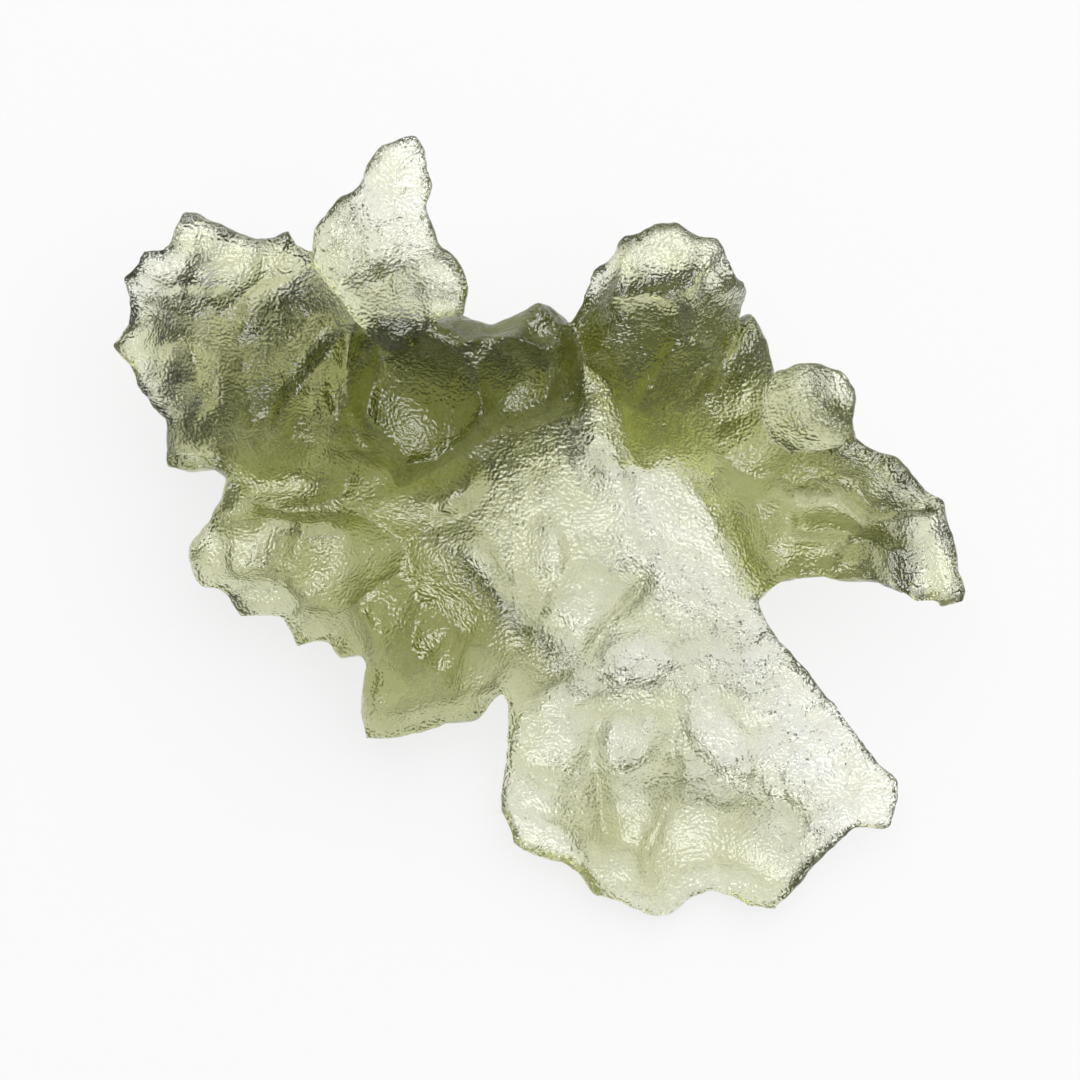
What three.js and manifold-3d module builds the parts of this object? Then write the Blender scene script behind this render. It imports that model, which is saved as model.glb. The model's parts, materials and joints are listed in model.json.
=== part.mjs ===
// A sculpted moldavite: one splash of green impact glass, etched in the ground into thin lobes,
// spikes and cusped pits. Millimetres, +Z up. The stone lies on the plane z = 0, with the origin
// under the middle of its box. It is made of five sheets of glass that are fused: a wide main
// sheet, and a ridge, a spike, a tower and a knob that stand on it. Each sheet has an outline from
// above, spot heights that give the run of its two skins, and round dents etched into both.
import * as THREE from "three";
import { mergeVertices } from "three/addons/utils/BufferGeometryUtils.js";
import Module from "manifold-3d";

const GRID = 0.7; // side of the even triangles of a skin's mesh, mm
const ROW = Math.sqrt(3) / 2; // height of an even triangle of side 1
const ROW_SHIFT = 0.5; // how far each row of even triangles of side 1 is shifted along x
const EDGE_HALF = 0.15; // half the thickness of a sheet at its sharp edge, mm
const LEAST_HALF = 0.4; // half the least thickness that two dents leave between them, mm
const RIM_POWER = 1.7; // how fast a sheet thickens behind its edge
const LOWER_RIM = 0.5; // how far behind its edge a sheet is full below, mm
const CUSP = 0.2; // how far a cusp between dents stands above the blended heights, mm
const BOWL_POWER = 1.8; // power of a dent's section, where the dent doesn't give its own
const PRISM_HEIGHT = 40; // height of the block that cuts a sheet to its outline, mm
const FAR_WEIGHT = 1e-9; // weight of a spot that is out of reach, so that a height is never undefined
const MERGE = 1e-4; // points closer than this are one point, mm

// Outlines are [x, y] in mm, clockwise from above: the teeth and the notches between them.
// Spots are [x, y, top z, bottom z]. Thick edges are [x, y, reach, half the height of the wall that
// the edge is there]. Dents are [x, y, radius along, radius across, turn in degrees, depth], some
// with the power of their section, and a dent's rim is sharp where it meets the next one.
const MAIN_OUTLINE = [
  // left lobe, from its left tip over the top
  [-17.1, 7.3], [-16.6, 7.9], [-16.3, 8.5], [-16.3, 9.2], [-16.6, 9.9], [-16.0, 10.5],
  [-15.8, 11.0], [-15.0, 11.1], [-14.6, 11.3], [-14.4, 12.0], [-14.1, 12.5], [-13.5, 12.5],
  [-12.3, 11.8], [-11.3, 11.4], [-10.6, 11.5], [-10.0, 11.8], [-9.7, 11.2], [-8.2, 10.6],
  [-7.0, 8.6], [-5.2, 7.9],
  // upper rim of the body
  [-3.2, 7.8], [-2.0, 7.4], [-1.2, 7.6], [-0.5, 8.0], [-0.1, 8.2], [0.5, 8.0], [1.1, 7.6],
  // under the tower, and the shoulder of the wing
  [2.6, 7.6], [5.0, 8.0], [7.4, 8.2], [8.4, 8.6], [8.7, 8.1], [9.0, 7.5], [9.8, 6.9],
  [10.5, 6.4], [12.0, 6.0], [12.4, 4.3], [12.8, 3.5], [13.5, 3.0], [14.3, 2.8], [14.9, 2.1],
  [15.4, 1.5], [16.1, 1.1], [16.2, 0.6], [16.4, -0.5], [16.7, -1.7], [16.9, -2.5],
  [16.8, -2.9], [16.2, -3.1], [15.9, -3.2], [15.7, -2.9], [15.0, -2.9], [14.3, -2.5],
  [13.4, -2.1], [12.2, -2.1], [11.2, -1.9], [10.4, -2.0], [9.6, -2.1], [9.1, -2.5],
  // notch between wing and flap, then the flap
  [8.7, -2.9], [9.1, -3.9], [9.9, -4.8], [10.8, -5.8], [11.9, -7.2], [13.0, -8.6],
  [13.8, -9.6], [14.4, -10.2], [14.4, -11.0], [14.1, -12.0], [13.8, -12.2], [12.7, -12.1],
  [12.0, -12.7], [11.1, -13.5], [10.5, -14.3], [9.9, -14.9], [9.5, -15.4], [8.5, -15.3],
  [7.7, -14.9], [6.9, -14.7], [6.1, -14.9], [5.3, -15.6], [4.6, -15.7], [3.8, -15.4],
  [2.6, -14.9], [2.2, -14.8], [1.8, -14.1], [0.9, -13.5], [-0.2, -13.2], [-1.0, -12.7],
  [-1.1, -12.3], [-1.6, -11.4], [-1.5, -10.4], [-1.3, -8.8], [-1.3, -7.0], [-1.5, -6.6],
  // lower left of the body, back up to the left lobe
  [-2.0, -7.1], [-2.7, -7.8], [-3.7, -7.8], [-4.8, -8.2], [-5.8, -8.4], [-7.0, -8.5],
  [-7.2, -7.3], [-7.0, -5.5], [-7.2, -5.1], [-8.0, -5.2], [-8.5, -4.6], [-9.1, -4.6],
  [-9.8, -4.8], [-10.0, -4.1], [-10.5, -3.6], [-12.0, -3.5], [-12.5, -2.8], [-13.0, -2.4],
  [-13.6, -2.4], [-13.9, -1.8], [-14.1, -1.1], [-14.0, -0.7], [-13.6, 0.0], [-13.2, 0.3],
  [-12.8, 1.1], [-12.5, 2.0], [-13.0, 2.4], [-14.0, 2.3], [-14.9, 2.5], [-15.0, 3.7],
  [-14.9, 4.3], [-15.5, 4.9], [-16.1, 5.7], [-16.4, 6.6],
];

const MAIN_SPOTS = [
  // left lobe
  [-16.4, 7.2, 6.6, 4.4], [-15.4, 10.4, 8.4, 6.6], [-13.8, 12.0, 9.2, 7.4],
  [-13.6, 6.6, 8.0, 4.4], [-14.4, 3.4, 5.8, 2.4], [-11.6, 9.4, 9.0, 5.4],
  [-11.6, 7.2, 8.2, 4.0], [-11.2, 4.6, 7.2, -2.6], [-9.0, 10.0, 9.2, 6.4], [-9.2, 7.4, 8.8, 4.2],
  // thick ridge of the body with the deep pits in its front
  [-7.0, 8.0, 8.6, 1.6], [-4.4, 7.6, 7.6, 0.4], [-1.6, 7.4, 7.4, 0.4], [0.5, 7.8, 7.0, 1.2],
  [-4.4, 4.9, 7.0, 0.0], [-0.8, 5.2, 6.6, 0.0], [-4.4, 3.0, 6.0, 0.4], [-1.0, 3.4, 5.2, 3.2],
  [-7.2, 5.4, 7.6, 0.8],
  // pale basin
  [-0.4, 1.0, 4.7, 3.4], [1.8, 3.2, 5.0, 3.8], [2.4, 0.0, 4.5, 3.0], [-2.4, -0.4, 4.8, 2.8],
  [1.8, -2.6, 4.3, 2.3],
  // left of the body, down to its teeth
  [-6.2, 3.2, 7.2, 0.8], [-10.2, 2.8, 6.4, 1.8], [-12.8, 0.8, 5.2, 2.0],
  [-13.2, -1.2, 4.4, 1.8], [-10.4, -0.6, 5.6, 1.6], [-7.4, -0.6, 5.9, 1.2],
  [-9.6, -3.6, 3.9, 0.9], [-4.8, -2.4, 6.2, 0.8], [-5.2, -4.8, 6.8, 0.0],
  [-5.6, -7.8, 3.4, 0.4], [-2.4, -6.2, 4.4, 0.2],
  // saddle under the tower and the wing
  [4.4, 1.4, 4.8, 4.0], [6.2, -1.6, 5.0, 4.7], [8.0, 1.0, 5.6, 4.7], [6.6, -3.6, 4.8, 4.2],
  [4.2, -3.6, 4.6, 3.4], [5.0, 7.0, 6.8, -0.9], [7.6, 7.2, 7.0, 1.8], [2.2, 5.2, 5.8, 3.4],
  // wing
  [9.0, 4.6, 7.4, 3.4], [9.2, 2.6, 6.8, 2.0], [11.6, 3.0, 7.8, 4.8], [11.0, 5.0, 8.8, 8.6],
  [11.6, 0.6, 7.8, 2.6], [11.6, -1.4, 6.6, 1.0], [14.6, 1.2, 8.4, 5.0], [15.8, -1.8, 8.8, 7.0],
  // flap
  [-0.2, -8.6, 2.7, 0.9], [3.6, -7.2, 3.0, 1.3], [-0.8, -11.6, 2.0, 0.5],
  [2.6, -12.0, 2.2, 0.3], [5.0, -14.4, 1.5, -0.2], [7.4, -8.2, 2.5, 1.3],
  [7.6, -12.6, 1.9, -0.2], [11.0, -9.2, 2.2, 1.3], [13.2, -11.2, 1.8, 0.9],
  [9.6, -14.4, 1.5, 0.1], [9.6, -5.8, 3.4, 2.3], [10.4, -11.6, 1.9, 1.0],
];

const MAIN_THICK_EDGES = [
  [12.0, -2.1, 1.1, 2.2], [10.6, -2.1, 0.9, 1.4], [13.6, -2.3, 0.8, 1.6],
  [-13.8, 2.5, 0.9, 0.7], [-12.6, 1.4, 0.7, 1.2], [-14.0, -0.9, 0.5, 0.8],
  [-5.6, -8.3, 1.4, 0.5], [-7.1, -6.2, 0.8, 0.8], [-3.4, -7.8, 0.8, 0.5],
  [-9.6, -4.6, 0.5, 0.4], [-8.0, -5.0, 0.5, 0.5], [-14.4, 11.8, 0.5, 0.4],
  [8.8, 8.0, 0.9, 1.4], [10.2, 6.6, 0.7, 0.6], [-1.0, 8.4, 1.2, 1.2], [0.6, 8.6, 0.6, 0.8],
];

const MAIN_UPPER_DENTS = [
  // foot of the ridge
  [-7.6, 5.8, 0.9, 2.2, -15, 1.0], [-3.4, 1.4, 1.4, 0.8, 40, 0.8],
  // pale basin and its petals
  [-3.4, -1.9, 1.8, 2.5, 25, 0.7],
  [-1.6, -3.3, 1.4, 1.5, 0, 0.5], [1.8, -3.3, 1.4, 1.6, 0, 0.5], [0.8, -4.6, 1.3, 1.0, 0, 0.4],
  [-5.6, 1.0, 2.0, 1.4, -10, 0.8],
  // left lobe
  [-15.9, 8.5, 1.1, 1.7, 0, 0.84, 3], [-15.6, 6.5, 0.9, 0.9, 0, 0.49], [-14.6, 6.6, 1.0, 0.8, 0, 0.49],
  [-15.4, 5.2, 1.0, 1.0, 0, 0.56], [-14.2, 4.3, 1.2, 1.2, 0, 0.63], [-13.4, 2.9, 1.9, 0.7, 0, 0.49, 3],
  [-12.7, 6.0, 1.0, 2.4, 8, 0.7], [-14.6, 10.5, 1.5, 0.9, 10, 0.56], [-14.0, 12.0, 0.6, 0.7, 0, 0.42],
  [-12.4, 10.1, 1.4, 1.3, -20, 0.63], [-11.0, 8.4, 1.5, 1.3, 20, 0.49], [-10.8, 6.2, 1.1, 2.1, 10, 0.63],
  [-9.4, 10.0, 1.7, 1.2, 0, 0.56], [-9.3, 6.6, 1.0, 1.8, -25, 0.49], [-8.9, 3.9, 1.5, 1.3, -30, 0.63],
  [-10.7, 3.4, 0.7, 0.9, 0, 0.42],
  // left of the body, down to its teeth
  [-9.6, 2.2, 2.3, 1.3, 10, 1.2], [-7.8, -1.2, 2.4, 1.7, 15, 1.2], [-11.0, -0.6, 1.5, 1.4, 0, 0.8],
  [-12.9, -0.8, 0.7, 0.9, 0, 0.7], [-12.1, 1.2, 0.7, 0.7, 0, 0.5], [-13.6, -1.4, 0.6, 0.9, 0, 0.5],
  [-11.0, -2.9, 1.6, 1.0, 0, 0.9, 3], [-9.3, -4.0, 0.9, 0.7, 20, 0.6], [-7.7, -4.4, 0.8, 1.0, 0, 0.7],
  [-5.9, -3.4, 1.2, 1.4, 0, 1.2], [-4.0, -4.4, 1.0, 1.5, 20, 1.4], [-5.4, -6.2, 1.5, 1.0, 0, 1.0],
  [-2.9, -5.6, 1.0, 1.3, -10, 1.0], [-4.8, -7.6, 2.2, 0.9, 8, 0.6], [-1.8, -6.9, 0.9, 0.7, 0, 0.6],
  [-6.6, 2.0, 1.2, 1.0, 0, 0.7],
  // wing
  [8.8, 3.6, 1.5, 1.4, 0, 0.9], [7.6, 5.2, 1.1, 1.3, 0, 0.7], [11.2, 0.9, 1.6, 0.9, 0, 0.9, 3],
  [12.8, 2.9, 1.2, 0.9, -20, 0.7], [11.0, -0.1, 1.1, 0.7, 0, 0.7], [12.6, 0.4, 0.6, 0.7, 0, 0.6],
  [11.4, -1.3, 1.7, 0.7, 0, 0.7], [14.0, 1.6, 1.3, 1.0, -30, 1.0], [14.4, 0.0, 1.3, 0.9, -20, 0.9],
  [15.2, -1.6, 1.1, 1.7, 15, 0.9], [16.2, -1.2, 0.7, 1.5, 10, 0.5],
  // smooth saddle
  [6.4, 0.0, 3.0, 3.6, 0, 0.6],
  // flap
  [0.6, -8.2, 1.6, 1.6, 0, 0.6], [0.0, -11.0, 1.1, 1.4, 0, 0.5], [3.2, -8.9, 1.3, 1.1, 0, 0.8],
  [4.1, -8.2, 0.9, 0.8, 20, 0.6], [3.9, -11.0, 1.3, 1.6, 0, 0.5], [0.6, -12.4, 1.5, 0.8, -20, 0.5],
  [2.6, -13.6, 1.7, 0.9, -10, 0.5], [7.2, -8.4, 1.0, 2.4, 33, 0.6], [6.4, -11.6, 1.5, 2.0, 10, 0.5],
  [10.6, -9.4, 2.2, 1.8, -40, 0.7], [9.4, -12.6, 1.6, 1.3, 0, 0.6], [7.4, -14.2, 1.4, 0.7, 0, 0.4],
  [11.6, -12.0, 1.5, 0.9, 30, 0.5], [13.4, -11.0, 0.7, 1.0, 0, 0.4], [9.4, -6.4, 1.6, 1.8, 30, 0.6],
  [3.9, -5.4, 1.8, 1.1, 0, 0.6], [6.6, -5.8, 1.6, 1.0, 0, 0.5], [1.4, -6.6, 1.2, 0.8, 20, 0.4],
];

const MAIN_LOWER_DENTS = [
  [-6.4, -3.4, 2.6, 2.2, 0, 0.45],
  [-12.2, -1.4, 2.0, 1.8, 0, 0.45],
  [-15.4, 6.0, 1.8, 1.8, 0, 0.55], [-14.6, 9.6, 2.0, 1.8, 30, 0.4], [-11.2, 9.6, 2.0, 1.9, 0, 0.6],
  [-8.6, 5.6, 2.2, 2.0, 0, 0.6], 
  [2.8, 4.4, 1.9, 2.1, 0, 0.5], [13.0, 3.4, 1.8, 1.6, 0, 0.55], [11.8, -0.2, 2.1, 1.8, 0, 0.55],
  [15.2, 0.2, 1.6, 1.8, 0, 0.45], 
  [11.0, -8.4, 2.6, 2.4, 30, 0.25], [2.2, -8.6, 2.6, 2.6, 0, 0.25], [-13.4, 4.4, 1.6, 1.5, 0, 0.45],
  [-9.6, 1.2, 2.0, 1.7, 0, 0.5], [-7.0, 8.4, 1.7, 1.5, 0, 0.5], [-9.6, -2.8, 1.6, 1.3, 20, 0.35],
  [-4.8, -6.4, 2.0, 1.3, 0, 0.25], 
  [7.4, 4.4, 2.1, 1.9, 0, 0.55], [8.8, 7.0, 1.5, 1.4, 0, 0.45], 
  [14.0, -1.6, 1.5, 1.1, 0, 0.3], [7.4, -9.0, 2.2, 1.8, 0, 0.23], [-0.2, -11.2, 1.8, 1.7, 0, 0.2],
  [12.6, -10.8, 1.6, 1.4, 0, 0.17], [2.8, -5.4, 2.2, 1.7, 0, 0.25], [9.0, -4.8, 1.7, 1.7, 0, 0.25],
];

const RIDGE_OUTLINE = [
  [-8.0, 6.6], [-7.6, 8.0], [-6.4, 8.7], [-5.0, 8.5], [-3.2, 8.5], [-2.0, 8.0], [-1.2, 8.3],
  [-0.5, 8.7], [-0.1, 9.0], [0.5, 8.7], [1.1, 8.2], [1.5, 7.4], [1.6, 6.2], [1.7, 5.0],
  [1.5, 4.5], [0.6, 4.3], [-0.6, 4.0], [-1.5, 4.1], [-2.2, 3.6], [-3.0, 3.0], [-3.9, 2.4],
  [-4.9, 1.9], [-5.6, 1.6], [-6.0, 2.4], [-6.6, 2.8], [-7.3, 3.6], [-7.8, 5.0],
];
const RIDGE_SPOTS = [
  [-6.8, 5.6, 9.0, 3.6], [-6.6, 7.8, 9.4, 2.6], [-4.4, 7.8, 10.4, 1.4], [-1.6, 7.4, 10.2, 1.4],
  [0.5, 7.6, 9.2, 1.8], [-4.4, 4.9, 10.2, 4.6], [-0.8, 5.4, 9.8, 4.6], [-3.8, 3.2, 9.4, 5.8],
  [-5.6, 2.6, 8.6, 5.4], [-0.8, 4.4, 8.8, 5.2], [1.2, 5.0, 8.2, 4.6],
];
const RIDGE_THICK_EDGES = [
  [-5.4, 8.6, 1.2, 1.6], [-2.4, 8.2, 1.2, 2.2], [0.2, 8.8, 1.0, 2.0],
];
const RIDGE_UPPER_DENTS = [
  [-4.6, 4.9, 2.2, 2.5, 20, 2.5], [-0.9, 5.6, 1.5, 1.8, -20, 2.2], [-7.3, 6.1, 0.9, 2.2, -15, 1.2],
  [0.9, 5.2, 0.8, 1.8, 0, 1.0], [0.2, 7.9, 1.0, 0.7, -10, 0.6], [-2.4, 8.0, 1.5, 0.7, 0, 0.6],
  [-5.9, 7.6, 1.4, 1.0, -20, 0.7], [-6.0, 3.4, 1.0, 1.1, 0, 0.7], [-2.2, 3.5, 0.9, 0.8, 40, 0.6],
];
const RIDGE_LOWER_DENTS = [
  [-4.4, 5.4, 1.8, 1.5, 20, 0.8], [-0.8, 5.0, 1.5, 1.4, 0, 0.8], [-2.6, 7.2, 1.4, 1.1, 0, 0.8],
];

const SPIKE_OUTLINE = [
  [-9.1, 10.4], [-8.9, 11.9], [-8.4, 12.6], [-7.8, 13.1], [-7.1, 13.6], [-6.8, 14.4],
  [-6.3, 15.1], [-5.6, 15.4], [-4.9, 15.5], [-4.5, 14.9], [-4.3, 13.5], [-4.5, 12.8],
  [-4.0, 11.1], [-3.2, 10.6], [-2.9, 10.1], [-2.8, 9.5], [-3.0, 8.4], [-4.1, 8.2],
  [-4.6, 7.6], [-5.1, 7.0], [-5.7, 6.9], [-6.1, 7.0], [-6.7, 7.5], [-7.3, 8.1], [-8.1, 9.2],
];
const SPIKE_SPOTS = [
  [-5.4, 15.0, 11.4, 10.4], [-5.8, 12.6, 11.8, 10.6], [-8.4, 11.8, 10.2, 8.8],
  [-3.4, 9.8, 10.8, 9.9], [-6.4, 9.6, 11.4, 9.8], [-5.4, 7.6, 11.4, 8.4],
];
const SPIKE_UPPER_DENTS = [
  [-4.7, 12.6, 1.1, 2.8, 0, 0.6], [-6.6, 11.6, 1.5, 2.6, -25, 0.6], [-3.9, 9.4, 1.5, 1.8, 0, 0.5],
  [-5.9, 8.4, 1.8, 1.5, 0, 0.5],
];
const SPIKE_LOWER_DENTS = [[-5.8, 12.2, 1.6, 2.4, 0, 0.2]];

const TOWER_OUTLINE = [
  [1.3, 8.3], [1.7, 9.0], [1.8, 9.5], [2.1, 10.2], [2.7, 10.6], [3.1, 11.3], [3.3, 11.5],
  [4.0, 11.7], [4.6, 12.1], [5.4, 12.1], [6.3, 11.5], [7.0, 11.4], [7.2, 11.1], [7.6, 10.3],
  [8.2, 9.5], [7.6, 7.4], [7.7, 5.6], [7.0, 3.9], [5.6, 3.0], [4.2, 2.4], [3.2, 2.5],
  [2.8, 3.1], [2.4, 3.8], [2.1, 4.7], [1.8, 5.7], [1.7, 6.7], [1.4, 7.8],
];
const TOWER_SPOTS = [
  [4.9, 11.4, 9.2, 8.0], [4.8, 10.4, 10.0, 8.6], [4.8, 9.2, 10.8, 8.8], [6.2, 9.6, 10.0, 8.2],
  [3.4, 10.0, 9.6, 7.8], [2.2, 9.2, 7.8, 5.0], [5.0, 7.4, 10.2, 2.0], [3.4, 7.6, 9.6, 2.4],
  [4.8, 5.8, 8.8, 0.8], [7.0, 7.8, 8.8, 2.2], [2.2, 5.6, 6.0, 4.2], [2.6, 3.6, 5.2, 3.6],
  [5.4, 3.6, 6.0, 3.2],
];
const TOWER_UPPER_DENTS = [
  [2.0, 8.9, 0.9, 2.4, -15, 1.3], [2.4, 4.8, 1.1, 2.4, 10, 0.8], [4.7, 10.3, 1.6, 1.1, 0, 0.3],
  [4.4, 7.2, 1.4, 2.2, 15, 1.0], [6.6, 8.6, 1.1, 2.0, -20, 1.0], [6.0, 5.8, 1.3, 2.0, -30, 1.0],
  [7.3, 10.0, 0.7, 1.2, -20, 0.5],
];
const TOWER_LOWER_DENTS = [
  [7.4, 9.6, 1.6, 1.8, 0, 1.1], [2.4, 9.0, 1.6, 1.8, 0, 1.0],
];

const KNOB_OUTLINE = [
  [8.9, 5.6], [9.4, 6.2], [10.3, 6.6], [11.1, 6.5], [12.0, 6.2], [12.5, 5.6], [12.6, 5.2],
  [12.4, 4.3], [12.5, 3.5], [11.2, 3.0], [10.0, 3.0], [9.2, 3.5], [8.8, 4.4],
];
const KNOB_SPOTS = [
  [10.8, 4.9, 9.8, 7.8], [12.3, 5.2, 9.4, 7.6],
];
const KNOB_UPPER_DENTS = [
  [10.6, 4.7, 1.6, 1.7, 0, 0.3],
];
const KNOB_LOWER_DENTS = [
  [12.0, 5.6, 1.2, 1.2, 0, 0.8],
];

// reach is how far a spot height is felt, and rim how far behind its edge a sheet is full, in mm.
const SHEETS = [
  {
    outline: MAIN_OUTLINE,
    spots: MAIN_SPOTS,
    thickEdges: MAIN_THICK_EDGES,
    upperDents: MAIN_UPPER_DENTS,
    lowerDents: MAIN_LOWER_DENTS,
    reach: 1.6,
    rim: 2.3,
  },
  {
    outline: RIDGE_OUTLINE,
    spots: RIDGE_SPOTS,
    thickEdges: RIDGE_THICK_EDGES,
    upperDents: RIDGE_UPPER_DENTS,
    lowerDents: RIDGE_LOWER_DENTS,
    reach: 1.2,
    rim: 0.8,
  },
  {
    outline: SPIKE_OUTLINE,
    spots: SPIKE_SPOTS,
    thickEdges: [],
    upperDents: SPIKE_UPPER_DENTS,
    lowerDents: SPIKE_LOWER_DENTS,
    reach: 1.6,
    rim: 1.5,
  },
  {
    outline: TOWER_OUTLINE,
    spots: TOWER_SPOTS,
    thickEdges: [],
    upperDents: TOWER_UPPER_DENTS,
    lowerDents: TOWER_LOWER_DENTS,
    reach: 1.1,
    rim: 1.4,
  },
  {
    outline: KNOB_OUTLINE,
    spots: KNOB_SPOTS,
    thickEdges: [],
    upperDents: KNOB_UPPER_DENTS,
    lowerDents: KNOB_LOWER_DENTS,
    reach: 1.6,
    rim: 1.2,
  },
];

const wasm = await Module();
wasm.setup();

function solidOf(geometry) {
  geometry.deleteAttribute("normal");
  geometry.deleteAttribute("uv");
  const closed = mergeVertices(geometry, MERGE);
  return new wasm.Manifold(
    new wasm.Mesh({
      numProp: 3,
      vertProperties: closed.attributes.position.array,
      triVerts: new Uint32Array(closed.index.array),
    }),
  );
}

function geometryOf(solid) {
  const mesh = solid.getMesh();
  const geometry = new THREE.BufferGeometry();
  geometry.setAttribute("position", new THREE.BufferAttribute(mesh.vertProperties, 3));
  geometry.setIndex(new THREE.BufferAttribute(mesh.triVerts, 1));
  return geometry.toNonIndexed();
}

// How far inside an outline a point is, and 0 outside it.
function depthInside(point, outline) {
  let inside = false;
  let nearest = Infinity;
  const foot = new THREE.Vector3();
  outline.forEach((start, i) => {
    const end = outline[(i + 1) % outline.length];
    const spansY = start.y > point.y !== end.y > point.y;
    const share = (point.y - start.y) / (end.y - start.y);
    if (spansY && point.x < start.x + share * (end.x - start.x)) inside = !inside;
    new THREE.Line3(start, end).closestPointToPoint(point, true, foot);
    nearest = Math.min(nearest, foot.distanceTo(point));
  });
  return inside ? nearest : 0;
}

// The spot heights blended by nearness: [top z, bottom z].
function blendedHeights(x, y, spots, reach) {
  let total = 0;
  let top = 0;
  let bottom = 0;
  for (const [spotX, spotY, spotTop, spotBottom] of spots) {
    const squares = (x - spotX) ** 2 + (y - spotY) ** 2;
    const weight = Math.exp(-squares / (2 * reach ** 2)) + FAR_WEIGHT / (1 + squares);
    total += weight;
    top += weight * spotTop;
    bottom += weight * spotBottom;
  }
  return [top / total, bottom / total];
}

// How deep the deepest dent is at a point, and below 0 on the cusps between dents.
function dentDepth(x, y, dents) {
  let deepest = -CUSP;
  for (const [dentX, dentY, along, across, turn, depth, power = BOWL_POWER] of dents) {
    const angle = THREE.MathUtils.degToRad(turn);
    const dx = x - dentX;
    const dy = y - dentY;
    const u = (dx * Math.cos(angle) + dy * Math.sin(angle)) / along;
    const v = (dy * Math.cos(angle) - dx * Math.sin(angle)) / across;
    deepest = Math.max(deepest, depth * (1 - Math.hypot(u, v) ** power));
  }
  return deepest;
}

// Half the thickness of a sheet's edge near a point.
function edgeHalf(x, y, thickEdges) {
  let half = EDGE_HALF;
  for (const [edgeX, edgeY, reach, extra] of thickEdges) {
    const squares = (x - edgeX) ** 2 + (y - edgeY) ** 2;
    half += extra * Math.exp(-squares / (2 * reach ** 2));
  }
  return half;
}

// Half a sheet's thickness at a share of its rim: it grows from the edge's own to the full one.
function behindEdge(edge, full, share) {
  const fullness = 1 - (1 - Math.min(share, 1)) ** RIM_POWER;
  return Math.min(edge, full) + Math.max(full - edge, 0) * fullness;
}

// The upper and lower skins of a sheet at a point: [top z, bottom z].
function skinsAt(x, y, sheet, outline) {
  const [highest, lowest] = blendedHeights(x, y, sheet.spots, sheet.reach);
  const middle = (highest + lowest) / 2;
  const above = Math.max(highest - middle - dentDepth(x, y, sheet.upperDents), LEAST_HALF);
  const below = Math.max(middle - lowest - dentDepth(x, y, sheet.lowerDents), LEAST_HALF);
  const depth = depthInside(new THREE.Vector3(x, y, 0), outline);
  const edge = edgeHalf(x, y, sheet.thickEdges);
  const top = middle + behindEdge(edge, above, depth / sheet.rim);
  const bottom = middle - behindEdge(edge, below, depth / LOWER_RIM);
  return [top, bottom];
}

// A sheet: a block whose two faces are drawn to the skins, cut to the outline. The faces' rows are
// shifted so that their triangles are even.
function sheetOf(sheet) {
  const outline = sheet.outline.map(([x, y]) => new THREE.Vector3(x, y, 0));
  const bounds = new THREE.Box3().setFromPoints(outline).expandByScalar(GRID);
  const size = bounds.getSize(new THREE.Vector3());
  const centre = bounds.getCenter(new THREE.Vector3());
  const columns = Math.ceil(size.x / GRID) + Math.ceil(size.y / GRID);
  const rows = Math.ceil(size.y / (GRID * ROW));
  const block = new THREE.BoxGeometry(columns * GRID, rows * GRID * ROW, 1, columns, rows, 1);
  const position = block.attributes.position;
  for (let i = 0; i < position.count; i++) {
    const isTop = position.getZ(i) > 0;
    const slant = ((isTop ? -1 : 1) * ROW_SHIFT) / ROW;
    const x = centre.x + position.getX(i) + slant * position.getY(i);
    const y = centre.y + position.getY(i);
    const [top, bottom] = skinsAt(x, y, sheet, outline);
    position.setXYZ(i, x, y, isTop ? top : bottom);
  }
  const shape = new THREE.Shape(outline.map(({ x, y }) => new THREE.Vector2(x, y)));
  const prism = new THREE.ExtrudeGeometry(shape, { depth: PRISM_HEIGHT, bevelEnabled: false });
  prism.translate(0, 0, -PRISM_HEIGHT / 2);
  return solidOf(block).intersect(solidOf(prism));
}

const aboveGround = new THREE.BoxGeometry(PRISM_HEIGHT, PRISM_HEIGHT, PRISM_HEIGHT);
aboveGround.translate(0, 0, PRISM_HEIGHT / 2);
const stone = SHEETS.map(sheetOf)
  .reduce((fused, sheet) => fused.add(sheet))
  .intersect(solidOf(aboveGround));

const glass = new THREE.MeshStandardMaterial({ color: 0x7f8f52, roughness: 0.3, metalness: 0 });
const moldavite = new THREE.Mesh(geometryOf(stone), glass);
moldavite.name = "moldavite";

const group = new THREE.Group();
group.add(moldavite);
export default group;
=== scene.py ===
"""A sculpted moldavite: one splash of clear green impact glass, dressed for its portrait.

The stone is built in millimetres from the same five fused sheets as its solid, only finer, then
shrunk to metres. Its outlines, spot heights and dents are repeated here because nothing but the
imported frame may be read.
"""

import json
import logging
import math
from dataclasses import dataclass, field
from enum import Enum
from typing import Any

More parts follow.
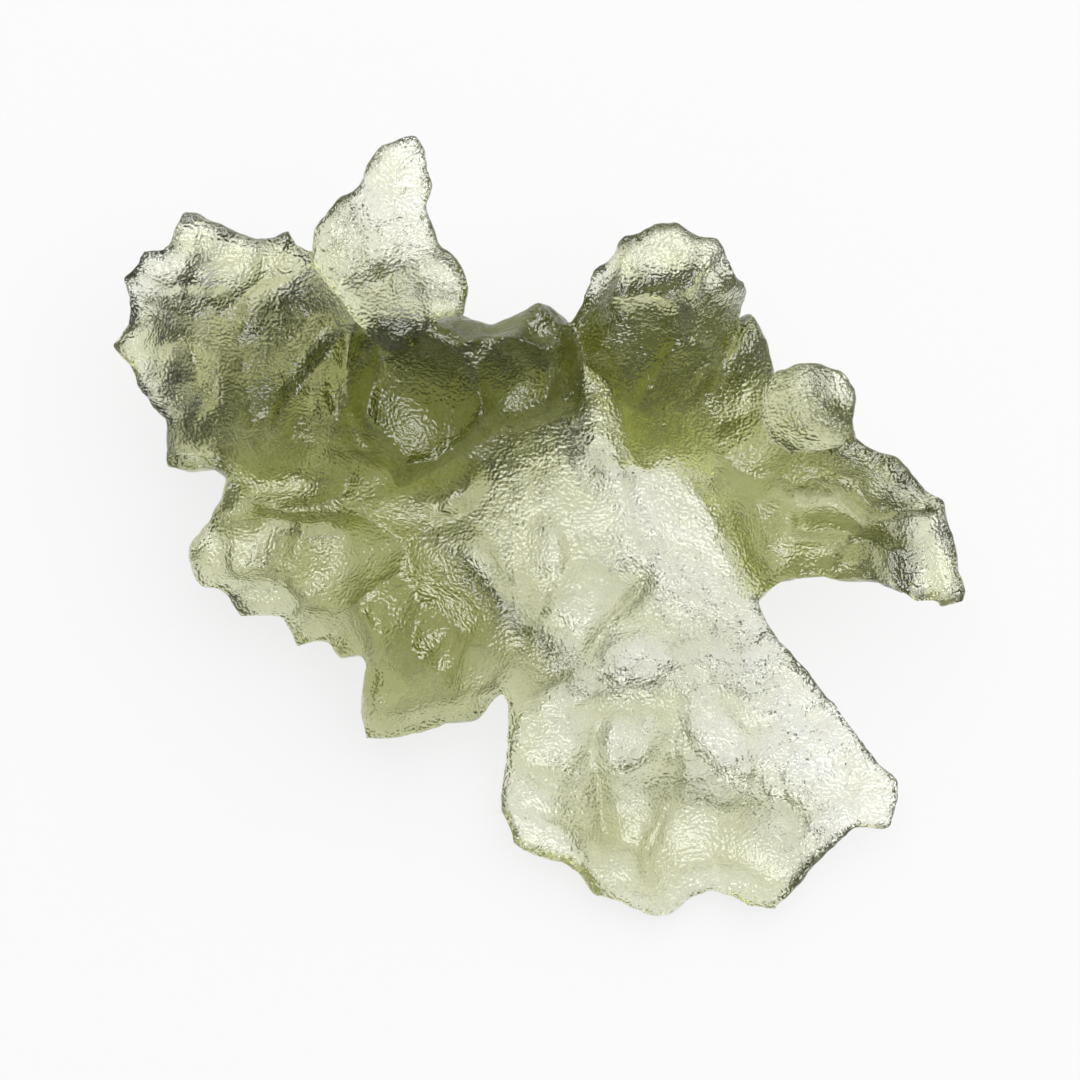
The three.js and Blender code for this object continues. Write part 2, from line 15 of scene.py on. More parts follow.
import bpy
import numpy as np
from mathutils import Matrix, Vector

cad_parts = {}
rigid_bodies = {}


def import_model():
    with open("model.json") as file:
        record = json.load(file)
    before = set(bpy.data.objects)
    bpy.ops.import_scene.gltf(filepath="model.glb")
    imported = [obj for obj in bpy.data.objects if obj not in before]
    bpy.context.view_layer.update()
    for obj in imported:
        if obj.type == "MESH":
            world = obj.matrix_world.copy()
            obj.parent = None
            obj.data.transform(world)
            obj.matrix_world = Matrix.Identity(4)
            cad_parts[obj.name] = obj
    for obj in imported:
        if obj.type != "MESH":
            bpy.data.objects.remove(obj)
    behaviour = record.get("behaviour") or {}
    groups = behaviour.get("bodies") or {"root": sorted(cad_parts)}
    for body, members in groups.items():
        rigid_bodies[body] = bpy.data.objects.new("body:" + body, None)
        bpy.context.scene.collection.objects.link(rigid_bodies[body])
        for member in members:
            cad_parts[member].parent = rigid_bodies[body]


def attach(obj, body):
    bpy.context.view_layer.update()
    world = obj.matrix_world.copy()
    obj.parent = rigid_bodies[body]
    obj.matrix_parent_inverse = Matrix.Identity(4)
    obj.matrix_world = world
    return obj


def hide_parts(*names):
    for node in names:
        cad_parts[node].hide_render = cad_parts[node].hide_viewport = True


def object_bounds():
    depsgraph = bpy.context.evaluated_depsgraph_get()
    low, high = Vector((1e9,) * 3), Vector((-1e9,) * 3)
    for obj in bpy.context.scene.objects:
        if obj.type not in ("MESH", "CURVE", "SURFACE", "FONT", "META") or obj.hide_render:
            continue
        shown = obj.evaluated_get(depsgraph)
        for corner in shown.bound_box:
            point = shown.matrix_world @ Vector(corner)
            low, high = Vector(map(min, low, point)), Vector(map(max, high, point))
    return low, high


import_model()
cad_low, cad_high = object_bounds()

log = logging.getLogger("moldavite")

MM = 0.001  # metres in a millimetre

Point = tuple[float, float]
Row = tuple[float, ...]


# ---------------------------------------------------------------- small helpers


def linear_from_hex(code: str) -> tuple[float, float, float]:
    """Turn an sRGB hex colour into linear light.

    Args:
        code: six hex digits, with or without a leading hash.

    Returns:
        The red, green and blue shares in linear light.
    """
    digits = code.lstrip("#")
    shares = [int(digits[i : i + 2], 16) / 255 for i in (0, 2, 4)]
    red, green, blue = (
        s / 12.92 if s <= 0.04045 else ((s + 0.055) / 1.055) ** 2.4 for s in shares
    )
    return red, green, blue


def deselect_all() -> None:
    """Leave nothing selected, so that an operator acts only on what is picked next."""
    for other in bpy.context.view_layer.objects:
        other.select_set(False)


def pick(obj: bpy.types.Object) -> None:
    """Make one object the only selected and active one.

    Args:
        obj: the object to pick.
    """
    deselect_all()
    obj.select_set(True)
    bpy.context.view_layer.objects.active = obj


def apply_modifier(obj: bpy.types.Object, kind: str, **settings: Any) -> None:
    """Add a modifier to an object and apply it at once.

    Args:
        obj: the mesh object to change.
        kind: the modifier's type.
        **settings: the modifier's own settings by name.
    """
    pick(obj)
    modifier = obj.modifiers.new(kind.title(), kind)
    for name, value in settings.items():
        setattr(modifier, name, value)
    bpy.ops.object.modifier_apply(modifier=modifier.name)


def points_of(obj: bpy.types.Object) -> np.ndarray:
    """Read the vertices of a mesh object.

    Args:
        obj: the mesh object.

    Returns:
        An N by 3 array of places.
    """
    flat = np.empty(len(obj.data.vertices) * 3)
    obj.data.vertices.foreach_get("co", flat)
    return flat.reshape(-1, 3)


def move_points(obj: bpy.types.Object, points: np.ndarray) -> None:
    """Give a mesh object's vertices new places."""
    obj.data.vertices.foreach_set("co", points.ravel())
    obj.data.update()


def normals_of(obj: bpy.types.Object) -> np.ndarray:
    """Read the vertex normals of a mesh object.

    Args:
        obj: the mesh object.

    Returns:
        An N by 3 array of unit directions.
    """
    flat = np.empty(len(obj.data.vertices) * 3)
    obj.data.vertex_normals.foreach_get("vector", flat)
    return flat.reshape(-1, 3)


# ---------------------------------------------------------------- the sheets of glass

# Outlines are (x, y) in mm, clockwise from above. Spots are (x, y, top z, bottom z). Dents are
# (x, y, radius along, radius across, turn in degrees, depth), and some end with the power at
# which their floor rises: 3 gives a flat floor and steep sides.
MAIN_OUTLINE: list[Point] = [
    # left lobe, from its left tip over the top
    (-17.1, 7.3), (-16.6, 7.9), (-16.3, 8.5), (-16.3, 9.2), (-16.6, 9.9), (-16.0, 10.5),
    (-15.8, 11.0), (-15.0, 11.1), (-14.6, 11.3), (-14.4, 12.0), (-14.1, 12.5), (-13.5, 12.5),
    (-12.3, 11.8), (-11.3, 11.4), (-10.6, 11.5), (-10.0, 11.8), (-9.7, 11.2), (-8.2, 10.6),
    (-7.0, 8.6), (-5.2, 7.9),
    # upper rim of the body
    (-3.2, 7.8), (-2.0, 7.4), (-1.2, 7.6), (-0.5, 8.0), (-0.1, 8.2), (0.5, 8.0), (1.1, 7.6),
    # under the tower, and the shoulder of the wing
    (2.6, 7.6), (5.0, 8.0), (7.4, 8.2), (8.4, 8.6), (8.7, 8.1), (9.0, 7.5), (9.3, 6.4),
    (9.5, 5.2), (10.2, 4.2), (11.4, 3.7), (12.4, 3.7), (12.8, 3.5), (13.5, 3.0), (14.3, 2.8),
    (14.9, 2.1),
    (15.4, 1.5), (16.1, 1.1), (16.2, 0.6), (16.4, -0.5), (16.7, -1.7), (16.9, -2.5),
    (16.8, -2.9), (16.2, -3.1), (15.9, -3.2), (15.7, -2.9), (15.0, -2.9), (14.3, -2.5),
    (13.4, -2.1), (12.2, -2.1), (11.2, -1.9), (10.4, -2.0), (9.6, -2.1), (9.1, -2.5),
    # notch between wing and flap, then the flap
    (8.7, -2.9), (9.1, -3.9), (9.9, -4.8), (10.8, -5.8), (11.9, -7.2), (13.0, -8.6),
    (13.8, -9.6), (14.4, -10.2), (14.4, -11.0), (14.1, -12.0), (13.8, -12.2), (12.7, -12.1),
    (12.0, -12.7), (11.1, -13.5), (10.5, -14.3), (9.9, -14.9), (9.5, -15.4), (8.5, -15.3),
    (7.7, -14.9), (6.9, -14.7), (6.1, -14.9), (5.3, -15.6), (4.6, -15.7), (3.8, -15.4),
    (2.6, -14.9), (2.2, -14.8), (1.8, -14.1), (0.9, -13.5), (-0.2, -13.2), (-1.0, -12.7),
    (-1.1, -12.3), (-1.6, -11.4), (-1.5, -10.4), (-1.3, -8.8), (-1.3, -7.0), (-1.5, -6.6),
    # lower left of the body, back up to the left lobe
    (-2.0, -7.1), (-2.7, -7.8), (-3.7, -7.8), (-4.8, -8.2), (-5.8, -8.4), (-7.0, -8.5),
    (-7.2, -7.3), (-7.0, -5.5), (-7.2, -5.1), (-8.0, -5.2), (-8.5, -4.6), (-9.1, -4.6),
    (-9.8, -4.8), (-10.0, -4.1), (-10.5, -3.6), (-12.0, -3.5), (-12.5, -2.8), (-13.0, -2.4),
    (-13.6, -2.4), (-13.9, -1.8), (-14.1, -1.1), (-14.0, -0.7), (-13.6, 0.0), (-13.2, 0.3),
    (-12.8, 1.1), (-12.5, 2.0), (-13.0, 2.4), (-14.0, 2.3), (-14.9, 2.5), (-15.0, 3.7),
    (-14.9, 4.3), (-15.5, 4.9), (-16.1, 5.7), (-16.4, 6.6),
]
MAIN_SPOTS: list[Row] = [
    # left lobe
    (-16.4, 7.2, 6.6, 4.4), (-15.4, 10.4, 8.2, 6.8), (-13.8, 12.0, 9.0, 7.6),
    (-13.6, 6.6, 8.0, 4.8), (-14.4, 3.4, 5.8, 2.4), (-11.6, 9.4, 9.0, 5.4),
    (-11.6, 7.2, 8.2, 4.5), (-11.2, 4.6, 7.2, -2.6), (-9.0, 10.0, 9.2, 6.4),
    (-9.2, 7.4, 8.8, 4.2),
    # thick ridge of the body with the deep pits in its front
    (-7.0, 8.0, 8.6, 1.6), (-4.4, 7.6, 7.6, 0.4), (-1.6, 7.4, 7.4, 0.4), (0.5, 7.8, 7.0, 1.2),
    (-4.4, 4.9, 7.0, 0.0), (-0.8, 5.2, 6.6, 0.0), (-4.4, 3.0, 6.0, 0.4), (-1.0, 3.4, 5.2, 3.2),
    (-7.2, 5.4, 7.6, 0.8),
    # pale basin
    (-0.4, 1.0, 4.7, 3.7), (1.8, 3.2, 5.0, 4.0), (2.4, 0.0, 4.5, 3.4), (-2.4, -0.4, 4.8, 3.2),
    (1.8, -2.6, 4.3, 2.7),
    # left of the body, down to its teeth
    (-6.2, 3.2, 7.2, 0.8), (-10.2, 2.8, 6.4, 1.8), (-12.8, 0.8, 5.2, 2.0),
    (-13.2, -1.2, 4.4, 1.8), (-10.4, -0.6, 5.6, 1.6), (-7.4, -0.6, 5.9, 1.4),
    (-9.6, -3.6, 3.9, 0.9), (-5.2, -2.6, 6.6, 1.0), (-5.0, -4.8, 7.4, 0.3), (-3.2, 0.8, 5.3, 2.2),
    (-5.6, -7.8, 3.4, 0.4), (-2.4, -6.2, 4.4, 1.2),
    # saddle under the tower and the wing
    (4.4, 1.4, 4.8, 4.0), (6.2, -1.6, 4.9, 4.5), (7.1, 1.1, 5.2, 4.7), (8.2, -1.4, 5.4, 4.7),
    (6.6, -3.8, 4.2, 3.5),
    (4.2, -3.8, 4.2, 3.0), (6.4, -6.0, 3.4, 2.4), (5.0, 7.0, 6.8, -0.9), (7.6, 7.2, 7.0, 1.8),
    (2.2, 5.2, 5.8, 4.4),
    # wing
    (8.8, 5.2, 8.4, 1.8), (8.9, 3.9, 7.2, 1.6), (9.2, 2.2, 6.8, 1.4), (10.1, 0.4, 6.8, 1.6),
    (11.6, 3.0, 7.8, 4.8), (10.4, 4.0, 7.8, 6.2),
    (11.6, 0.6, 8.0, 2.2), (11.6, -1.4, 6.8, 0.8), (14.6, 1.2, 8.4, 5.0), (15.8, -1.8, 8.8, 7.0),
    # flap
    (-0.2, -8.6, 2.7, 0.9), (3.6, -7.2, 3.0, 1.3), (-0.8, -11.6, 2.0, 0.5),
    (2.6, -12.0, 2.2, 0.3), (5.0, -14.4, 1.5, -0.2), (7.4, -8.2, 2.5, 1.3),
    (7.6, -12.6, 1.9, -0.2), (11.0, -9.2, 2.2, 1.3), (13.2, -11.2, 1.8, 0.9),
    (9.6, -14.4, 1.5, 0.1), (9.6, -5.8, 3.4, 2.3), (10.4, -11.6, 1.9, 1.0),
]
# Edges that are walls: (x, y, how far it reaches, half the wall's height) in mm.
MAIN_THICK_EDGES: list[Row] = [
    (12.0, -2.1, 1.1, 2.2), (10.6, -2.1, 0.9, 1.4), (13.6, -2.3, 0.8, 1.6),
    (-13.8, 2.5, 0.9, 0.7), (-12.6, 1.4, 0.7, 1.2), (-14.0, -0.9, 0.5, 0.8),
    (-5.6, -8.3, 1.4, 0.5), (-7.1, -6.2, 0.8, 0.8), (-3.4, -7.8, 0.8, 0.5),
    (-9.6, -4.6, 0.5, 0.4), (-8.0, -5.0, 0.5, 0.5), (-14.4, 11.8, 0.5, 0.4),
    (8.8, 8.0, 0.9, 1.4), (10.2, 6.6, 0.7, 0.6), (-1.0, 8.4, 1.2, 1.2), (0.6, 8.6, 0.6, 0.8),
]
MAIN_UPPER_DENTS: list[Row] = [
    # foot of the ridge
    (-7.6, 5.8, 0.9, 2.2, -15, 1.0), (-3.4, 1.4, 1.4, 0.8, 40, 0.8),
    # pale basin and its petals
    (-3.4, -1.9, 1.8, 2.5, 25, 0.7),
    (-1.6, -3.3, 1.4, 1.5, 0, 0.5), (1.8, -3.3, 1.4, 1.6, 0, 0.5), (0.8, -4.6, 1.3, 1.0, 0, 0.4),
    (-5.6, 1.0, 2.0, 1.4, -10, 0.8),
    # left lobe
    (-15.9, 8.5, 1.1, 1.7, 0, 0.84, 3), (-15.6, 6.5, 0.9, 0.9, 0, 0.49),
    (-14.6, 6.6, 1.0, 0.8, 0, 0.49),
    (-15.4, 5.2, 1.0, 1.0, 0, 0.56), (-14.2, 4.3, 1.2, 1.2, 0, 0.63),
    (-13.4, 2.9, 1.9, 0.7, 0, 0.49, 3),
    (-12.7, 6.0, 1.0, 2.4, 8, 0.7), (-14.6, 10.5, 1.5, 0.9, 10, 0.56),
    (-14.0, 12.0, 0.6, 0.7, 0, 0.42),
    (-12.4, 10.1, 1.4, 1.3, -20, 0.63), (-11.0, 8.4, 1.5, 1.3, 20, 0.49),
    (-10.8, 6.2, 1.1, 2.1, 10, 0.63),
    (-9.4, 10.0, 1.7, 1.2, 0, 0.56), (-9.3, 6.6, 1.0, 1.8, -25, 0.49),
    (-8.9, 3.9, 1.5, 1.3, -30, 0.63),
    (-10.7, 3.4, 0.7, 0.9, 0, 0.42),
    # left of the body, down to its teeth
    (-9.6, 2.2, 2.3, 1.3, 10, 1.2), (-7.8, -1.2, 2.4, 1.7, 15, 1.2),
    (-11.0, -0.6, 1.5, 1.4, 0, 0.8),
    (-12.9, -0.8, 0.7, 0.9, 0, 0.7), (-12.1, 1.2, 0.7, 0.7, 0, 0.5),
    (-13.6, -1.4, 0.6, 0.9, 0, 0.5),
    (-11.0, -2.9, 1.6, 1.0, 0, 0.9, 3), (-9.3, -4.0, 0.9, 0.7, 20, 0.6),
    (-7.7, -4.4, 0.8, 1.0, 0, 0.7),
    (-5.9, -3.4, 1.2, 1.4, 0, 0.7), (-4.0, -4.4, 1.0, 1.5, 20, 0.8),
    (-5.4, -6.2, 1.5, 1.0, 0, 0.7),
    (-2.9, -5.6, 1.0, 1.3, -10, 1.0), (-4.8, -7.6, 2.2, 0.9, 8, 0.6),
    (-1.8, -6.9, 0.9, 0.7, 0, 0.6),
    (-6.6, 2.0, 1.2, 1.0, 0, 0.7),
    # wing
    (8.8, 3.6, 1.5, 1.4, 0, 0.8), (8.0, 5.4, 1.1, 1.3, 0, 0.6), (11.2, 0.9, 1.6, 0.9, 0, 0.9, 3),
    (12.8, 2.9, 1.2, 0.9, -20, 0.7), (11.0, -0.1, 1.1, 0.7, 0, 0.7),
    (12.6, 0.4, 0.6, 0.7, 0, 0.6),
    (11.4, -1.3, 1.7, 0.7, 0, 0.7), (14.0, 1.6, 1.3, 1.0, -30, 1.0),
    (14.4, 0.0, 1.3, 0.9, -20, 0.9),
    (15.2, -1.6, 1.1, 1.7, 15, 0.9), (16.2, -1.2, 0.7, 1.5, 10, 0.5),
    # smooth saddle
    (6.0, 0.0, 2.4, 3.6, 20, 0.6),
    # flap
    (0.6, -8.2, 1.6, 1.6, 0, 0.6), (0.0, -11.0, 1.1, 1.4, 0, 0.5), (3.2, -8.9, 1.3, 1.1, 0, 0.8),
    (4.1, -8.2, 0.9, 0.8, 20, 0.6), (3.9, -11.0, 1.3, 1.6, 0, 0.5),
    (0.6, -12.4, 1.5, 0.8, -20, 0.5),
    (2.6, -13.6, 1.7, 0.9, -10, 0.5), (7.2, -8.4, 1.0, 2.4, 33, 0.6),
    (6.4, -11.6, 1.5, 2.0, 10, 0.5),
    (10.6, -9.4, 2.2, 1.8, -40, 0.7), (9.4, -12.6, 1.6, 1.3, 0, 0.6),
    (7.4, -14.2, 1.4, 0.7, 0, 0.4),
    (11.6, -12.0, 1.5, 0.9, 30, 0.5), (13.4, -11.0, 0.7, 1.0, 0, 0.4),
    (9.4, -6.4, 1.6, 1.8, 30, 0.6),
    (3.9, -5.4, 1.8, 1.1, 0, 0.6), (6.6, -5.8, 1.6, 1.0, 0, 0.5), (1.4, -6.6, 1.2, 0.8, 20, 0.4),
]
MAIN_LOWER_DENTS: list[Row] = [
    (-6.4, -3.4, 2.6, 2.2, 0, 0.45),
    (-12.2, -1.4, 2.0, 1.8, 0, 0.45),
    (-15.4, 6.0, 1.8, 1.8, 0, 0.55), (-14.6, 9.6, 2.0, 1.8, 30, 0.4),
    (-11.2, 9.6, 2.0, 1.9, 0, 0.6),
    (-8.6, 5.6, 2.2, 2.0, 0, 0.6),
    (2.8, 4.4, 1.9, 2.1, 0, 0.5), (13.0, 3.4, 1.8, 1.6, 0, 0.55), (11.8, -0.2, 2.1, 1.8, 0, 0.55),
    (15.2, 0.2, 1.6, 1.8, 0, 0.45),
    (11.0, -8.4, 2.6, 2.4, 30, 0.25), (2.2, -8.6, 2.6, 2.6, 0, 0.25),
    (-13.4, 4.4, 1.6, 1.5, 0, 0.45),
    (-9.6, 1.2, 2.0, 1.7, 0, 0.5), (-7.0, 8.4, 1.7, 1.5, 0, 0.5),
    (-9.6, -2.8, 1.6, 1.3, 20, 0.35),
    (-4.8, -6.4, 2.0, 1.3, 0, 0.25),
    (7.4, 4.4, 2.1, 1.9, 0, 0.55), (8.8, 7.0, 1.5, 1.4, 0, 0.45),
    (14.0, -1.6, 1.5, 1.1, 0, 0.3), (7.4, -9.0, 2.2, 1.8, 0, 0.23),
    (-0.2, -11.2, 1.8, 1.7, 0, 0.2),
    (12.6, -10.8, 1.6, 1.4, 0, 0.17), (2.8, -5.4, 2.2, 1.7, 0, 0.25),
    (9.0, -4.8, 1.7, 1.7, 0, 0.25),
]
# The ridge stands on the main sheet: its front edge is the lip over the pale basin.
RIDGE_OUTLINE: list[Point] = [
    (-8.0, 6.6), (-7.6, 8.0), (-6.4, 8.7), (-5.0, 8.5), (-3.2, 8.5), (-2.0, 8.0), (-1.2, 8.3),
    (-0.5, 8.7), (-0.1, 9.0), (0.5, 8.7), (1.1, 8.2), (1.5, 7.4), (1.6, 6.2), (1.7, 5.0),
    (1.5, 4.5), (0.6, 4.3), (-0.6, 4.0), (-1.5, 4.1), (-2.2, 3.6), (-3.0, 3.0), (-3.9, 2.4),
    (-4.9, 1.9), (-5.6, 1.6), (-6.0, 2.4), (-6.6, 2.8), (-7.3, 3.6), (-7.8, 5.0),
]
RIDGE_SPOTS: list[Row] = [
    (-6.8, 5.6, 9.0, 3.6), (-6.6, 7.8, 9.4, 2.6), (-4.4, 7.8, 10.4, 1.4), (-1.6, 7.4, 10.2, 1.4),
    (0.5, 7.6, 9.2, 1.8), (-4.4, 4.9, 10.8, 4.6), (-0.8, 5.4, 10.3, 4.6), (-3.8, 3.2, 9.4, 5.8),
    (-5.6, 2.6, 8.6, 5.4), (-0.8, 4.4, 8.8, 5.2), (1.2, 5.0, 8.2, 4.6),
]
RIDGE_THICK_EDGES: list[Row] = [
    (-5.4, 8.6, 1.2, 1.6), (-2.4, 8.2, 1.2, 2.2), (0.2, 8.8, 1.0, 2.0),
]
RIDGE_UPPER_DENTS: list[Row] = [
    (-4.6, 4.9, 2.2, 2.5, 20, 2.0), (-0.9, 5.6, 1.5, 1.8, -20, 1.4),
    (-7.3, 6.1, 0.9, 2.2, -15, 1.2),
    (0.9, 5.2, 0.8, 1.8, 0, 1.0), (0.2, 7.9, 1.0, 0.7, -10, 0.6), (-2.4, 8.0, 1.5, 0.7, 0, 0.6),
    (-5.9, 7.6, 1.4, 1.0, -20, 0.7), (-6.0, 3.4, 1.0, 1.1, 0, 0.7),
    (-2.2, 3.5, 0.9, 0.8, 40, 0.6),
]
RIDGE_LOWER_DENTS: list[Row] = [
    (-4.4, 5.4, 1.8, 1.5, 20, 0.8), (-0.8, 5.0, 1.5, 1.4, 0, 0.8), (-2.6, 7.2, 1.4, 1.1, 0, 0.8),
]
SPIKE_OUTLINE: list[Point] = [
    (-9.1, 10.4), (-8.9, 11.9), (-8.4, 12.6), (-7.8, 13.1), (-7.1, 13.6), (-6.8, 14.4),
    (-6.3, 15.1), (-5.6, 15.4), (-4.9, 15.5), (-4.5, 14.9), (-4.3, 13.5), (-4.5, 12.8),
    (-4.0, 11.1), (-3.2, 10.6), (-2.9, 10.1), (-2.8, 9.5), (-3.0, 8.4), (-4.1, 8.2),
    (-4.6, 7.6), (-5.1, 7.0), (-5.7, 6.9), (-6.1, 7.0), (-6.7, 7.5), (-7.3, 8.1), (-8.1, 9.2),
]
SPIKE_SPOTS: list[Row] = [
    (-5.4, 15.0, 11.4, 10.4), (-5.8, 12.6, 11.8, 10.6), (-8.4, 11.8, 10.2, 8.8),
    (-3.4, 9.8, 10.8, 9.9), (-6.4, 9.6, 11.4, 9.8), (-5.4, 7.6, 11.4, 8.4),
]
SPIKE_UPPER_DENTS: list[Row] = [
    (-4.7, 12.6, 1.1, 2.8, 0, 0.6), (-6.6, 11.6, 1.5, 2.6, -25, 0.6),
    (-3.9, 9.4, 1.5, 1.8, 0, 0.5),
    (-5.9, 8.4, 1.8, 1.5, 0, 0.5),
]
SPIKE_LOWER_DENTS: list[Row] = [(-5.8, 12.2, 1.6, 2.4, 0, 0.2)]
TOWER_OUTLINE: list[Point] = [
    (1.3, 8.3), (1.7, 9.0), (1.8, 9.5), (2.1, 10.2), (2.7, 10.6), (3.1, 11.3), (3.3, 11.5),
    (4.0, 11.7), (4.6, 12.1), (5.4, 12.1), (6.3, 11.5), (7.0, 11.4), (7.2, 11.1), (7.6, 10.3),
    (8.2, 9.5), (7.6, 7.4), (7.7, 5.6), (7.0, 3.9), (5.6, 3.0), (4.2, 2.4), (3.2, 2.5),
    (2.8, 3.1), (2.4, 3.8), (2.1, 4.7), (1.8, 5.7), (1.7, 6.7), (1.4, 7.8),
]
TOWER_SPOTS: list[Row] = [
    (4.9, 11.4, 9.2, 8.0), (4.8, 10.4, 10.0, 8.6), (4.8, 9.2, 10.8, 8.8), (6.2, 9.6, 10.0, 8.2),
    (3.4, 10.0, 9.6, 7.8), (2.2, 9.2, 7.8, 5.0), (5.0, 7.4, 10.2, 2.0), (3.4, 7.6, 9.6, 2.4),
    (4.8, 5.8, 8.8, 0.8), (7.0, 7.8, 8.8, 2.2), (2.2, 5.6, 6.0, 4.8), (2.6, 3.6, 5.2, 4.2),
    (5.4, 3.6, 6.0, 3.2),
]
TOWER_UPPER_DENTS: list[Row] = [
    (2.0, 8.9, 0.9, 2.4, -15, 1.3), (2.4, 4.8, 1.1, 2.4, 10, 0.8), (4.7, 10.3, 1.6, 1.1, 0, 0.3),
    (4.4, 7.2, 1.4, 2.2, 15, 1.0), (6.6, 8.6, 1.1, 2.0, -20, 1.0), (6.0, 5.8, 1.3, 2.0, -30, 1.0),
    (7.3, 10.0, 0.7, 1.2, -20, 0.5),
]
TOWER_LOWER_DENTS: list[Row] = [
    (7.4, 9.6, 1.6, 1.8, 0, 1.1), (2.4, 9.0, 1.6, 1.8, 0, 1.0),
]
KNOB_OUTLINE: list[Point] = [
    (8.9, 5.6), (9.4, 6.2), (10.3, 6.6), (11.1, 6.5), (12.0, 6.2), (12.5, 5.6), (12.6, 5.2),
    (12.4, 4.3), (12.5, 3.5), (11.2, 3.0), (10.0, 3.0), (9.2, 3.5), (8.8, 4.4),
]
KNOB_SPOTS: list[Row] = [
    (10.8, 5.2, 9.9, 8.3), (12.3, 5.4, 9.4, 8.0), (9.6, 4.2, 9.0, 5.8), (11.2, 3.5, 8.6, 5.6),
]
KNOB_UPPER_DENTS: list[Row] = [
    (10.6, 4.7, 1.6, 1.7, 0, 0.3),
]
KNOB_LOWER_DENTS: list[Row] = [
    (12.0, 5.6, 1.2, 1.2, 0, 0.8),
]


CREST_SHARPNESS = 1.6  # 1 gives a crest straight sides, and more hollows them


class Kind(Enum):
    """The forms that a line on a skin can have."""

    LEDGE = "a wall that drops on the right of the line, with a floor that comes back up"
    CREST = "a sharp ridge"
    GROOVE = "a round furrow"


@dataclass(frozen=True)
class Crease:
    """A line etched into the upper skin of a sheet, in mm."""

    kind: Kind
    height: float
    width: float  # of the wall, or of half the ridge or furrow
    run: float  # how far a ledge's floor takes to come back up
    line: list[Point]
    lip: float = 0.2  # share of its height that a ledge's edge stands up
    end: float = 1.0  # how far the form takes to fade in and out along the line

    def push(self, x: np.ndarray, y: np.ndarray) -> np.ndarray:
        """How far the skin is raised at each point, and below 0 where it is cut.

        Args:
            x: places along the stone.
            y: places across it.

        Returns:
            The raise at each place.
        """
        corners = np.array(self.line)
        steps = np.diff(corners, axis=0)
        lengths = np.hypot(steps[:, 0], steps[:, 1])
        starts = np.concatenate([[0], np.cumsum(lengths)])
        nearest = np.full(x.shape, np.inf)
        side = np.zeros(x.shape)
        along = np.zeros(x.shape)
        for (ax, ay), (run, rise), length, start in zip(corners, steps, lengths, starts):
            share = np.clip(((x - ax) * run + (y - ay) * rise) / length**2, 0, 1)
            off_x, off_y = x - ax - share * run, y - ay - share * rise
            far = np.hypot(off_x, off_y)
            closer = far < nearest
            nearest = np.where(closer, far, nearest)
            side = np.where(closer, np.sign(off_x * rise - off_y * run), side)
            along = np.where(closer, start + share * length, along)
        fade = min(self.end, starts[-1] / 3)
        strength = ease(np.minimum(along, starts[-1] - along) / fade)
        return strength * self.height * self.profile(nearest * np.where(side < 0, -1, 1))

    def profile(self, far: np.ndarray) -> np.ndarray:
        """The form's section, for a height of 1.

        Args:
            far: distances from the line, below 0 on its left.

        Returns:
            The section's height at each distance.
        """
        if self.kind is Kind.CREST:
            return np.maximum(1 - np.abs(far) / self.width, 0) ** CREST_SHARPNESS
        if self.kind is Kind.GROOVE:
            return -np.maximum(1 - (far / self.width) ** 2, 0)
        before = self.lip * np.maximum(1 + far / (2 * self.width), 0) ** 2
        wall = self.lip - (1 + self.lip) * ease(far / self.width)
        after = wall * (1 - ease((far - self.width) / self.run))
        return np.where(far < 0, before, after)


def ease(share: np.ndarray) -> np.ndarray:
    """A smooth step from 0 to 1, held flat outside."""
    held = np.clip(share, 0, 1)
    return held * held * (3 - 2 * held)


